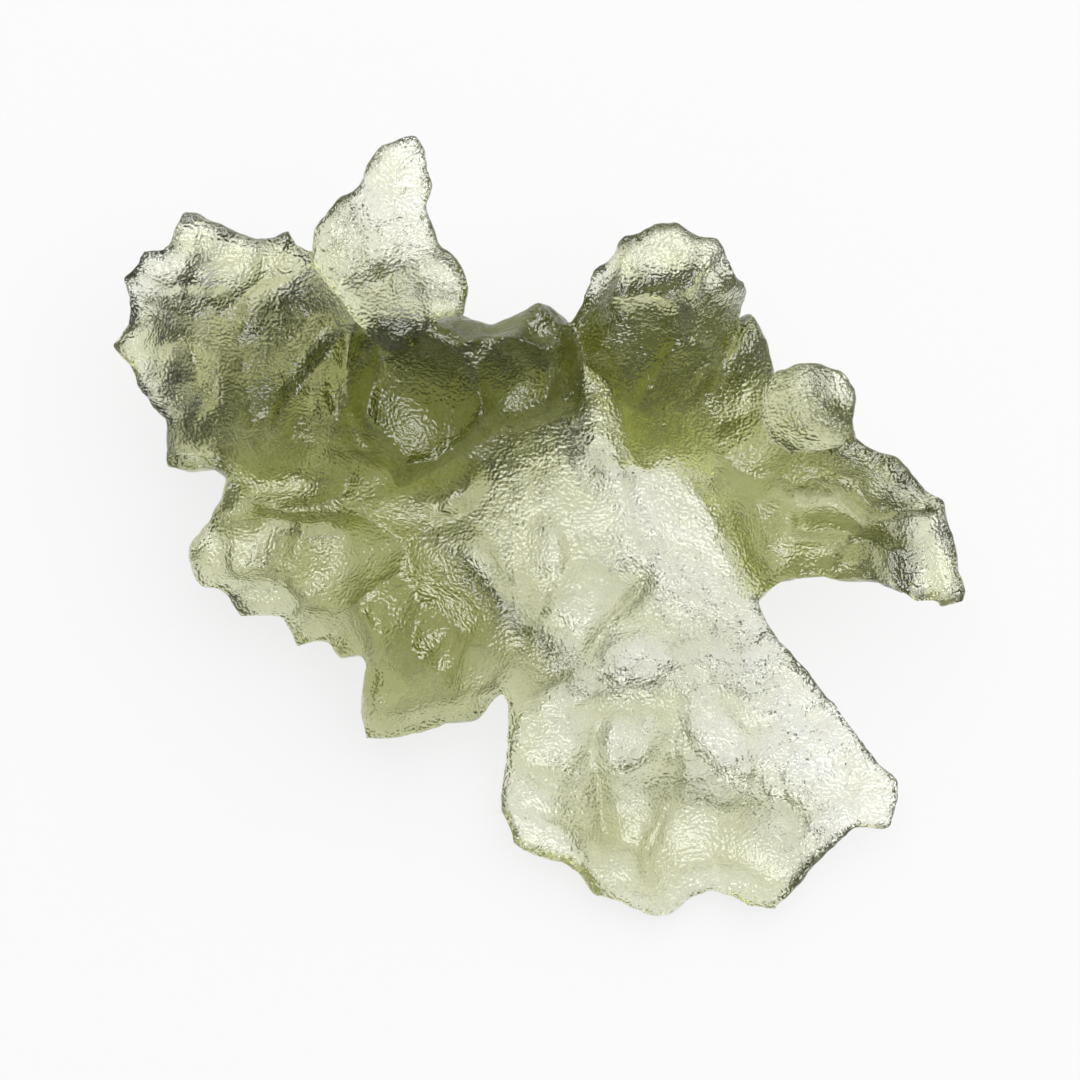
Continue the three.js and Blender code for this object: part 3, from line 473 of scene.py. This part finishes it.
MAIN_CREASES: list[Crease] = [
    # left edge of the saddle
    Crease(
        Kind.LEDGE, 0.45, 0.3, 1.4,
        [(3.5, 3), (3.5, 1.8), (3.8, 0.7), (4.1, -0.4), (4.6, -1.4)],
    ),
    # green ridge between the basin and the flap
    Crease(
        Kind.CREST, 0.7, 0.7, 0,
        [(1.8, -5.6), (2.3, -4.5), (2.9, -3.6), (4, -2.6), (4.5, -1.5)],
    ),
    # first ledge of the wing
    Crease(
        Kind.LEDGE, 1.5, 0.35, 1.5,
        [
            (9.1, 2.4), (9.8, 1.8), (10.6, 1.5), (12, 1.6), (12.6, 1), (13.2, 0.6), (14.6, 0.7),
            (16.2, 1),
        ],
    ),
    # second ledge of the wing
    Crease(
        Kind.LEDGE, 1.2, 0.3, 1.2,
        [(10.2, 0.9), (10.2, -0.1), (11.4, -0.2), (12.4, -0.1), (12.7, -0.5)],
    ),
    # left edge of the wing's tip
    Crease(Kind.LEDGE, 1.0, 0.3, 1.4, [(12.9, -0.2), (13.3, -0.8), (13.8, -1.8), (14.6, -2.7)]),
    # long ridge of the left lobe
    Crease(
        Kind.CREST, 0.7, 0.7, 0,
        [(-7.7, 8), (-8.7, 6.6), (-9.6, 5.5), (-10.2, 4.6), (-11, 2.9)],
    ),
    # ridge beside the deep pit
    Crease(
        Kind.CREST, 0.6, 0.6, 0,
        [(-8.2, 7.3), (-7.9, 5.9), (-7.6, 4.3), (-7.2, 3.2), (-5.6, 2.4)],
    ),
    # edge of the white top band
    Crease(Kind.LEDGE, 0.5, 0.25, 1.2, [(-15.2, 9.4), (-14.2, 9.7), (-13, 9.5), (-12.1, 9.7)]),
    # rib beside the left scoop
    Crease(Kind.CREST, 0.5, 0.5, 0, [(-15.6, 9.5), (-15, 8.7), (-15.3, 7.7), (-16.2, 6.9)]),
    # rib over the left pits
    Crease(
        Kind.CREST, 0.5, 0.5, 0,
        [(-15.6, 7.3), (-14.4, 7.3), (-13.6, 6.3), (-13.4, 5.1), (-14.2, 3.5)],
    ),
    # lip over the lobe's lower band
    Crease(Kind.LEDGE, 0.6, 0.3, 1.0, [(-14.7, 3.5), (-13.6, 3.4), (-12.2, 3.3)]),
    # step across the left lobe
    Crease(Kind.LEDGE, 0.5, 0.25, 1.3, [(-12.3, 7.3), (-11.8, 9.1), (-11.1, 9.8), (-9.4, 10.1)]),
    # dark line across the left body
    Crease(Kind.LEDGE, 0.9, 0.35, 1.4, [(-11.6, 1.1), (-10.2, 0.6), (-8.4, 0.6), (-6.8, 0.2)]),
    # upper edge of the glassy flake
    Crease(
        Kind.LEDGE, 0.7, 0.3, 1.2,
        [(-13.4, -2.2), (-12.6, -1.8), (-11.4, -1.6), (-10, -1.8), (-9.7, -2.9)],
    ),
    # upright fin
    Crease(
        Kind.CREST, 0.9, 0.4, 0,
        [(-7.4, -2.9), (-6.8, -3.9), (-6.6, -4.9), (-6.8, -6.5), (-7, -8.3)],
    ),
    # step into the teeth
    Crease(Kind.LEDGE, 0.7, 0.3, 1.0, [(-9.8, -4.5), (-8.8, -4), (-7.8, -3.8)]),
    # dark line under the body
    Crease(
        Kind.LEDGE, 0.6, 0.3, 1.0,
        [(-4.1, -6.8), (-3.4, -6.5), (-2.5, -6.4), (-1.6, -6), (-1, -6.5)],
    ),
    # rib of the dark hollow
    Crease(Kind.CREST, 0.5, 0.5, 0, [(-5.6, -6.1), (-4.8, -5.3), (-4, -4.5), (-3.4, -4.1)]),
    # second rib of the dark hollow
    Crease(Kind.CREST, 0.4, 0.4, 0, [(-4.2, -6.1), (-3.4, -5.5), (-3.1, -4.5), (-2.8, -3.7)]),
    # edge of the first petal
    Crease(Kind.LEDGE, 0.5, 0.25, 1.4, [(-2.8, 0.3), (-2, -0.7), (-1.4, -1.9), (-1.1, -3.3)]),
    # edge of the second petal
    Crease(Kind.LEDGE, 0.35, 0.25, 1.4, [(0.5, 0.9), (0.9, -0.1), (1.2, -1.1), (0.8, -2.5)]),
    # edge of the third petal
    Crease(
        Kind.LEDGE, 0.3, 0.25, 1.2,
        [(-1.2, -4.5), (0, -3.4), (0.2, -2.9), (1.4, -2.5), (2.4, -2.7)],
    ),
    # rib between two petals
    Crease(Kind.CREST, 0.2, 0.35, 0, [(0.2, -2.9), (0.8, -3.9), (1.7, -4.8)]),
    # arch over the flap
    Crease(
        Kind.LEDGE, 0.7, 0.3, 1.4,
        [(-0.9, -6.8), (-0.4, -6.5), (0.4, -6.2), (1.4, -5.9), (2.4, -6.2), (2.8, -6.9)],
    ),
    # green band down the flap
    Crease(
        Kind.CREST, 0.5, 0.8, 0,
        [(2.1, -7.7), (2.3, -9.3), (2.4, -10.9), (2.6, -12.5), (2.6, -14.3)],
    ),
    # ridge down the flap
    Crease(
        Kind.CREST, 0.5, 0.5, 0,
        [(5.3, -8.7), (5.4, -9.9), (5.3, -11), (4.6, -12.2), (4.2, -13.2), (4.6, -15.1)],
    ),
    # hook of the flap's pit
    Crease(
        Kind.LEDGE, 0.6, 0.3, 1.0,
        [(2, -7.7), (2.6, -7.4), (3.3, -7.3), (4.4, -8.3), (4.8, -9.2)],
    ),
    # pale lens in the flap
    Crease(Kind.GROOVE, 0.55, 0.45, 0, [(6.1, -6.2), (6.7, -7.4), (7.5, -8.5), (8.7, -10.3)]),
    # thin rim left of the flap
    Crease(Kind.CREST, 0.5, 0.4, 0, [(-1.2, -6.9), (-1.1, -8.5), (-1.4, -10.1), (-1.5, -10.9)]),
    # soft ridge of the flap's right
    Crease(Kind.CREST, 0.35, 0.7, 0, [(9.2, -9.3), (9.8, -10.7), (10.4, -12.1), (10, -13.7)]),
    # scoop along the flap's rim, left
    Crease(
        Kind.LEDGE, 0.45, 0.3, 1.2,
        [(-1.4, -11.1), (-0.4, -11.4), (0.8, -11.9), (1.8, -12.9), (2.2, -14.3)],
    ),
    # scoop along the flap's rim, foot
    Crease(Kind.LEDGE, 0.4, 0.3, 1.2, [(2.4, -14.5), (3.4, -14.3), (4.2, -14.7), (4.8, -15.4)]),
]
RIDGE_CREASES: list[Crease] = [
    # pale rim of the deep pit
    Crease(
        Kind.CREST, 0.9, 0.35, 0,
        [(-5.6, 2.6), (-4, 2.6), (-2.9, 3.5), (-2.3, 4.5), (-2.2, 5.7)],
    ),
    # bright rim over the second pit
    Crease(
        Kind.CREST, 0.8, 0.35, 0,
        [(-3.4, 7.1), (-2.4, 7.5), (-1.2, 7.6), (0, 7.1), (0.3, 6.1)],
    ),
]
TOWER_CREASES: list[Crease] = [
    # sharp ridge down the tower's left
    Crease(Kind.CREST, 0.9, 0.5, 0, [(3.4, 11.4), (3.1, 10.1), (2.7, 8.7), (2.3, 7.1), (2, 6.5)]),
    # front edge of the top facet
    Crease(Kind.CREST, 0.25, 0.4, 0, [(2.9, 9.1), (4, 9.2), (5.1, 9.3), (6.1, 9.5), (6.5, 11.1)]),
    # slanting ridge of the tower's front
    Crease(Kind.CREST, 0.7, 0.5, 0, [(5.6, 7.7), (5.1, 6.9), (4.6, 5.9), (4, 5), (3.6, 4.5)]),
    # second slanting ridge
    Crease(Kind.CREST, 0.5, 0.5, 0, [(7.3, 8.3), (7, 6.9), (6.4, 5.7), (5.6, 4.7), (5, 3.9)]),
    # right ridge of the tower
    Crease(Kind.CREST, 0.5, 0.5, 0, [(6.6, 11.3), (6.9, 10.1), (7.7, 8.9), (7.2, 7.7)]),
]
SPIKE_CREASES: list[Crease] = [
    # soft fold up the spike
    Crease(Kind.CREST, 0.25, 0.6, 0, [(-6.2, 12.5), (-6.3, 11.1), (-6, 9.5), (-5.8, 8.3)]),
    # dark left edge of the spike
    Crease(Kind.LEDGE, 0.35, 0.4, 1.2, [(-8.4, 12.2), (-7.5, 12.9), (-6.8, 13.9)]),
]


@dataclass(frozen=True)
class GlassSheet:
    """One sheet of the splash: an outline from above and the run of its two skins, in mm."""

    name: str
    outline: list[Point]
    spots: list[Row]
    upper_dents: list[Row]
    lower_dents: list[Row]
    reach: float  # how far a spot height is felt
    rim: float  # how far behind its edge the sheet is full
    creases: list[Crease] = field(default_factory=list)
    thick_edges: list[Row] = field(default_factory=list)
    grid: float = 0.16  # spacing of the skins' points
    edge_half: float = 0.15  # half the thickness at the sharp edge
    least_half: float = 0.25  # half the least thickness that two dents leave between them
    dent_power: float = 1.8  # how fast a dent's floor rises, unless its row ends with its own
    cusp: float = 0.2  # how far a cusp between dents stands above the blended heights
    rim_power: float = 1.7  # how fast the sheet thickens behind its edge
    lower_rim: float = 0.5  # how far behind its edge the sheet is full below
    far_weight: float = 1e-9  # weight of a spot that is out of reach
    prism_height: float = 40.0  # height of the block that cuts the sheet to its outline

    def depth_inside(self, x: np.ndarray, y: np.ndarray) -> np.ndarray:
        """How far inside the outline each point is.

        Args:
            x: places along the stone.
            y: places across it.

        Returns:
            The distance to the outline, and 0 outside it.
        """
        corners = np.array(self.outline)
        nearest = np.full(x.shape, np.inf)
        inside = np.zeros(x.shape, bool)
        for (ax, ay), (bx, by) in zip(corners, np.roll(corners, -1, axis=0)):
            run, rise = bx - ax, by - ay
            share = np.clip(((x - ax) * run + (y - ay) * rise) / (run**2 + rise**2), 0, 1)
            nearest = np.minimum(nearest, np.hypot(x - ax - share * run, y - ay - share * rise))
            spans = (ay > y) != (by > y)
            crossing = ax + (y - ay) / (rise if rise else 1) * run
            inside ^= spans & (x < crossing)
        return np.where(inside, nearest, 0)

    def blended_heights(self, x: np.ndarray, y: np.ndarray) -> tuple[np.ndarray, np.ndarray]:
        """Blend the spot heights by nearness.

        Args:
            x: places along the stone.
            y: places across it.

        Returns:
            The top z and the bottom z at each place.
        """
        total = np.zeros(x.shape)
        top = np.zeros(x.shape)
        bottom = np.zeros(x.shape)
        for spot_x, spot_y, spot_top, spot_bottom in self.spots:
            squares = (x - spot_x) ** 2 + (y - spot_y) ** 2
            weight = np.exp(-squares / (2 * self.reach**2)) + self.far_weight / (1 + squares)
            total += weight
            top += weight * spot_top
            bottom += weight * spot_bottom
        return top / total, bottom / total

    def dent_depth(self, x: np.ndarray, y: np.ndarray, dents: list[Row]) -> np.ndarray:
        """How deep the deepest dent is at each point.

        Args:
            x: places along the stone.
            y: places across it.
            dents: the dents of one skin.

        Returns:
            The depth, which is below 0 on the cusps between dents.
        """
        deepest = np.full(x.shape, -self.cusp)
        for dent_x, dent_y, along, across, turn, depth, *power in dents:
            angle = math.radians(turn)
            dx, dy = x - dent_x, y - dent_y
            u = (dx * math.cos(angle) + dy * math.sin(angle)) / along
            v = (dy * math.cos(angle) - dx * math.sin(angle)) / across
            rounds = (u * u + v * v) ** ((power[0] if power else self.dent_power) / 2)
            deepest = np.maximum(deepest, depth * (1 - rounds))
        return deepest

    def skins_at(self, x: np.ndarray, y: np.ndarray) -> tuple[np.ndarray, np.ndarray]:
        """The upper and lower skins with their dents, creases and edges.

        Args:
            x: places along the stone.
            y: places across it.

        Returns:
            The top z and the bottom z at each place.
        """
        highest, lowest = self.blended_heights(x, y)
        middle = (highest + lowest) / 2
        above = highest - middle - self.dent_depth(x, y, self.upper_dents)
        below = middle - lowest - self.dent_depth(x, y, self.lower_dents)
        above = np.maximum(above, self.least_half)
        below = np.maximum(below, self.least_half)
        depth = self.depth_inside(x, y)
        fullness = 1 - (1 - np.minimum(depth / self.rim, 1)) ** self.rim_power
        lower_fullness = 1 - (1 - np.minimum(depth / self.lower_rim, 1)) ** self.rim_power
        above += sum((crease.push(x, y) for crease in self.creases), np.zeros(x.shape))
        above = np.maximum(above, self.least_half)
        edge = np.full(x.shape, self.edge_half)
        for edge_x, edge_y, reach, half in self.thick_edges:
            edge += half * np.exp(-((x - edge_x) ** 2 + (y - edge_y) ** 2) / (2 * reach**2))
        top = middle + np.minimum(edge, above) + np.maximum(above - edge, 0) * fullness
        bottom = middle - np.minimum(edge, below) - np.maximum(below - edge, 0) * lower_fullness
        return top, bottom

    def build(self) -> bpy.types.Object:
        """Draw a block's two faces to the skins and cut it to the outline.

        Returns:
            The closed sheet, in mm.
        """
        corners = np.array(self.outline)
        low, high = corners.min(0) - self.grid, corners.max(0) + self.grid
        size, centre = high - low, (high + low) / 2
        deselect_all()
        bpy.ops.mesh.primitive_grid_add(
            x_subdivisions=int(size[0] / self.grid),
            y_subdivisions=int(size[1] / self.grid),
            size=1,
            location=(centre[0], centre[1], -1),
        )
        block = bpy.context.object
        block.name = self.name
        block.scale = (size[0], size[1], 1)
        bpy.ops.object.transform_apply(location=True, rotation=True, scale=True)
        bpy.ops.object.mode_set(mode="EDIT")
        bpy.ops.mesh.select_all(action="SELECT")
        bpy.ops.mesh.extrude_region_move(TRANSFORM_OT_translate={"value": (0, 0, 2)})
        bpy.ops.mesh.select_all(action="SELECT")
        bpy.ops.mesh.normals_make_consistent(inside=False)
        bpy.ops.object.mode_set(mode="OBJECT")
        points = points_of(block)
        top, bottom = self.skins_at(points[:, 0], points[:, 1])
        points[:, 2] = np.where(points[:, 2] > 0, top, bottom)
        move_points(block, points)
        cutter = self.outline_prism()
        apply_modifier(block, "BOOLEAN", object=cutter, operation="INTERSECT", solver="MANIFOLD")
        bpy.data.objects.remove(cutter)
        return block

    def outline_prism(self) -> bpy.types.Object:
        """Draw the prism that cuts the sheet out of its block.

        Returns:
            A tall closed prism of the outline's shape.
        """
        deselect_all()
        bpy.ops.mesh.primitive_circle_add(vertices=len(self.outline), fill_type="NGON")
        prism = bpy.context.object
        low = [(x, y, -self.prism_height / 2) for x, y in reversed(self.outline)]
        move_points(prism, np.array(low))
        bpy.ops.object.mode_set(mode="EDIT")
        bpy.ops.mesh.select_all(action="SELECT")
        bpy.ops.mesh.extrude_region_move(
            TRANSFORM_OT_translate={"value": (0, 0, self.prism_height)}
        )
        bpy.ops.mesh.select_all(action="SELECT")
        bpy.ops.mesh.normals_make_consistent(inside=False)
        bpy.ops.object.mode_set(mode="OBJECT")
        return prism


@dataclass(frozen=True)
class Scallops:
    """A crowd of small etched bowls that meet in cusps."""

    width: float  # mm across one bowl
    depth: float  # mm from the stone's own skin to the bottom of a bowl
    seed: int
    bowl_share: float = 0.55  # radius of a bowl at the skin, as a share of its width
    highest: float = 1.6  # square of the distance, in bowl radii, at which a cusp is cut off

    def heights(self, points: np.ndarray) -> np.ndarray:
        """How far each point is pushed along its normal, in mm, below 0 in a bowl.

        Args:
            points: N by 3 places in mm.

        Returns:
            N heights.
        """
        low, high = points.min(0) - self.width, points.max(0) + self.width
        counts = np.ceil((high - low) / self.width).astype(int)
        random = np.random.default_rng(self.seed)
        cells = np.stack(np.meshgrid(*[np.arange(n) for n in counts], indexing="ij"), -1)
        seeds = low + (cells.reshape(-1, 3) + random.random((cells.size // 3, 3))) * self.width
        nearest = nearest_squares(points, seeds, low, self.width, counts)
        share = nearest / (self.bowl_share * self.width) ** 2
        return self.depth * (np.minimum(share, self.highest) - 1)


def nearest_squares(
    points: np.ndarray, seeds: np.ndarray, low: np.ndarray, width: float, counts: np.ndarray
) -> np.ndarray:
    """Squared distance from each point to the nearest seed, one seed to a cell of a grid.

    Args:
        points: N by 3 places.
        seeds: one place per cell, in the order of the cells.
        low: the grid's lowest corner.
        width: the side of a cell.
        counts: cells along each axis.

    Returns:
        N squared distances.
    """
    home = np.floor((points - low) / width).astype(int)
    best = np.full(len(points), np.inf)
    for step in np.ndindex(3, 3, 3):
        cell = np.clip(home + np.array(step) - 1, 0, counts - 1)
        index = (cell[:, 0] * counts[1] + cell[:, 1]) * counts[2] + cell[:, 2]
        best = np.minimum(best, ((points - seeds[index]) ** 2).sum(1))
    return best


# ---------------------------------------------------------------- finishes

CLEAR = (1.0, 1.0, 1.0, 1.0)


def add_node(
    tree: bpy.types.NodeTree,
    kind: str,
    inputs: dict[str, Any] | None = None,
    links: dict[str, bpy.types.NodeSocket] | None = None,
    **settings: Any,
) -> bpy.types.Node:
    """Add a node with its settings, values and links.

    Args:
        tree: the node tree it goes into.
        kind: the node's type.
        inputs: values of its input sockets by name.
        links: output sockets that its inputs take, by the input's name.
        **settings: the node's own settings by name.

    Returns:
        The new node.
    """
    node = tree.nodes.new(kind)
    for name, value in settings.items():
        setattr(node, name, value)
    for name, value in (inputs or {}).items():
        node.inputs[name].default_value = value
    for name, source in (links or {}).items():
        tree.links.new(source, node.inputs[name])
    return node


@dataclass(frozen=True)
class EtchedGreenGlass:
    """Natural silica glass, green with iron, etched by ground water to a satin gloss.

    The glass is clear, so its colour comes from depth alone: thin lobes look nearly white and
    thick ones bottle green. The etched skin scatters what passes and softens every reflection.
    """

    refraction: float = 1.49
    roughness: float = 0.15
    absorbed: str = "BCC030"  # the green that light turns to on its way through
    density: float = 440.0  # how fast it turns, per metre
    grain_width: float = 0.13  # mm, as wide as the beads that ground water etches in this glass
    grain_depth: float = 0.085  # mm, of the bump between two beads

    def make(self) -> bpy.types.Material:
        """Build the material's nodes.

        Returns:
            The material.
        """
        material = bpy.data.materials.new("etched_green_glass")
        material.use_nodes = True
        tree = material.node_tree
        tree.nodes.clear()
        places = add_node(tree, "ShaderNodeTexCoord").outputs["Object"]
        grain = add_node(
            tree,
            "ShaderNodeTexNoise",
            {"Scale": 1 / (self.grain_width * MM), "Detail": 0.0},
            {"Vector": places},
        )
        grained = add_node(
            tree,
            "ShaderNodeBump",
            {"Strength": 1.0, "Distance": self.grain_depth * MM},
            {"Height": grain.outputs["Fac"]},
        )
        skin = add_node(
            tree,
            "ShaderNodeBsdfPrincipled",
            {
                "Base Color": CLEAR,
                "Roughness": self.roughness,
                "IOR": self.refraction,
                "Transmission Weight": 1.0,
            },
            {"Normal": grained.outputs["Normal"]},
        )
        depth = add_node(
            tree,
            "ShaderNodeVolumeAbsorption",
            {"Color": (*linear_from_hex(self.absorbed), 1), "Density": self.density},
        )
        add_node(
            tree,
            "ShaderNodeOutputMaterial",
            links={"Surface": skin.outputs["BSDF"], "Volume": depth.outputs["Volume"]},
        )
        return material


def splash_sheets() -> list[GlassSheet]:
    """The five sheets of the splash, the widest first."""
    return [
        GlassSheet(
            name="main_sheet",
            outline=MAIN_OUTLINE,
            spots=MAIN_SPOTS,
            upper_dents=MAIN_UPPER_DENTS,
            lower_dents=MAIN_LOWER_DENTS,
            reach=1.6,
            rim=2.3,
            creases=MAIN_CREASES,
            thick_edges=MAIN_THICK_EDGES,
        ),
        GlassSheet(
            name="ridge",
            outline=RIDGE_OUTLINE,
            spots=RIDGE_SPOTS,
            upper_dents=RIDGE_UPPER_DENTS,
            lower_dents=RIDGE_LOWER_DENTS,
            reach=1.2,
            rim=0.8,
            creases=RIDGE_CREASES,
            thick_edges=RIDGE_THICK_EDGES,
        ),
        GlassSheet(
            name="spike",
            outline=SPIKE_OUTLINE,
            spots=SPIKE_SPOTS,
            upper_dents=SPIKE_UPPER_DENTS,
            lower_dents=SPIKE_LOWER_DENTS,
            reach=1.6,
            rim=1.5,
            creases=SPIKE_CREASES,
        ),
        GlassSheet(
            name="tower",
            outline=TOWER_OUTLINE,
            spots=TOWER_SPOTS,
            upper_dents=TOWER_UPPER_DENTS,
            lower_dents=TOWER_LOWER_DENTS,
            reach=1.1,
            rim=1.4,
            creases=TOWER_CREASES,
        ),
        GlassSheet(
            name="knob",
            outline=KNOB_OUTLINE,
            spots=KNOB_SPOTS,
            upper_dents=KNOB_UPPER_DENTS,
            lower_dents=KNOB_LOWER_DENTS,
            reach=1.6,
            rim=1.2,
        ),
    ]


def etched_bowls() -> list[Scallops]:
    """Three sizes of bowls, from ones that catch a fingernail to ones that only glint."""
    return [
        Scallops(1.4, 0.07, seed=11),
        Scallops(0.75, 0.04, seed=12),
        Scallops(0.42, 0.016, seed=13),
    ]


@dataclass
class Moldavite:
    """The stone: five fused sheets, remeshed evenly and etched all over."""

    sheets: list[GlassSheet] = field(default_factory=splash_sheets)
    bowls: list[Scallops] = field(default_factory=etched_bowls)
    voxel: float = 0.125  # mm, fine enough for the ridges
    kept_share: float = 0.58  # share of the triangles that is kept, the fewest where it is plain
    finish: EtchedGreenGlass = EtchedGreenGlass()

    def fuse(self) -> bpy.types.Object:
        """Build the sheets and fuse them into one closed mesh.

        Returns:
            The fused stone, in mm.
        """
        stone, *others = [sheet.build() for sheet in self.sheets]
        for other in others:
            apply_modifier(stone, "BOOLEAN", object=other, operation="UNION", solver="MANIFOLD")
            bpy.data.objects.remove(other)
        apply_modifier(stone, "REMESH", mode="VOXEL", voxel_size=self.voxel)
        return stone

    def etch(self, stone: bpy.types.Object) -> None:
        """Cut the small bowls into every side of the stone.

        Args:
            stone: the fused stone, in mm.
        """
        points, normals = points_of(stone), normals_of(stone)
        push = sum(layer.heights(points) for layer in self.bowls)
        move_points(stone, points + normals * push[:, None])

    def settle(self, stone: bpy.types.Object) -> None:
        """Shrink the stone to metres and keep it in its solid's box, which makes its feet flat.

        Args:
            stone: the etched stone, in mm.
        """
        points = points_of(stone) * MM
        move_points(stone, np.clip(points, np.array(cad_low), np.array(cad_high)))

    def build(self) -> bpy.types.Object:
        """Build, dress and place the stone.

        Returns:
            The finished stone, in metres.
        """
        stone = self.fuse()
        log.info("fused: %d faces", len(stone.data.polygons))
        self.etch(stone)
        apply_modifier(stone, "DECIMATE", ratio=self.kept_share)
        self.settle(stone)
        stone.name = stone.data.name = "etched_stone"
        pick(stone)
        bpy.ops.object.shade_smooth()
        stone.data.materials.clear()
        stone.data.materials.append(self.finish.make())
        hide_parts("moldavite")
        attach(stone, "root")
        return stone


@dataclass
class LightTable:
    """The pale glowing floor, the soft room, the softbox and the camera, in metres."""

    floor_size: float = 3.0
    floor_drop: float = 0.0002  # keeps the floor's face apart from the stone's feet
    floor_grey: float = 0.05  # sends little light back, so the stone throws hardly a shadow
    floor_glow: float = 0.8
    room_glow: float = 0.66
    softbox_place: Row = (0.14, 0.27, 0.44)
    softbox_size: float = 0.8
    softbox_power: float = 16.0  # watts
    camera_place: Row = (0, -0.00048, 0.405)
    sensor: float = 36.0  # mm
    lens: float = 333.3  # mm, long, for a view with hardly any perspective

    def build(self) -> None:
        """Lay the floor, light the room, hang the softbox and set the camera."""
        self.lay_floor()
        self.light_room()
        self.hang_softbox()
        self.set_camera()

    def lay_floor(self) -> None:
        """Lay the glowing floor just under the stone's feet."""
        deselect_all()
        bpy.ops.mesh.primitive_plane_add(size=self.floor_size, location=(0, 0, -self.floor_drop))
        floor = bpy.context.object
        floor.name = "light_table"
        bpy.ops.object.transform_apply(location=True)
        material = bpy.data.materials.new("white_light_table")
        material.use_nodes = True
        tree = material.node_tree
        tree.nodes.clear()
        paint = add_node(
            tree,
            "ShaderNodeBsdfPrincipled",
            {
                "Base Color": (self.floor_grey, self.floor_grey, self.floor_grey, 1),
                "Roughness": 0.9,
                "Specular IOR Level": 0.0,
                "Emission Color": (1, 1, 1, 1),
                "Emission Strength": self.floor_glow,
            },
        )
        add_node(tree, "ShaderNodeOutputMaterial", links={"Surface": paint.outputs["BSDF"]})
        floor.data.materials.append(material)

    def light_room(self) -> None:
        """Give the room an even pale glow."""
        world = bpy.data.worlds.new("soft_room")
        bpy.context.scene.world = world
        world.use_nodes = True
        glow = world.node_tree.nodes["Background"]
        glow.inputs["Color"].default_value = (1, 1, 1, 1)
        glow.inputs["Strength"].default_value = self.room_glow

    def hang_softbox(self) -> None:
        """Hang a square soft light at the upper right, facing the stone."""
        light = bpy.data.lights.new("softbox_above", "AREA")
        light.shape = "SQUARE"
        light.size = self.softbox_size
        light.energy = self.softbox_power
        holder = bpy.data.objects.new("softbox_above", light)
        bpy.context.scene.collection.objects.link(holder)
        place = Vector(self.softbox_place)
        holder.location = place
        holder.rotation_euler = (-place).to_track_quat("-Z", "Y").to_euler()
        holder.visible_camera = False

    def set_camera(self) -> None:
        """Point the camera straight down, with true colours and nothing out of focus."""
        camera = bpy.data.cameras.new("camera")
        camera.sensor_width = self.sensor
        camera.lens = self.lens
        camera.clip_start = 0.01
        camera.dof.use_dof = False
        holder = bpy.data.objects.new("camera", camera)
        bpy.context.scene.collection.objects.link(holder)
        holder.location = self.camera_place
        bpy.context.scene.camera = holder
        bpy.context.scene.view_settings.view_transform = "Standard"


def main() -> None:
    """Build the light table and the stone, and report each piece."""
    logging.basicConfig(level=logging.INFO, format="%(name)s: %(message)s")
    LightTable().build()
    log.info("light table, lights and camera")
    stone = Moldavite().build()
    log.info("stone: %d vertices, %d faces", len(stone.data.vertices), len(stone.data.polygons))


if __name__ == "__main__":
    main()
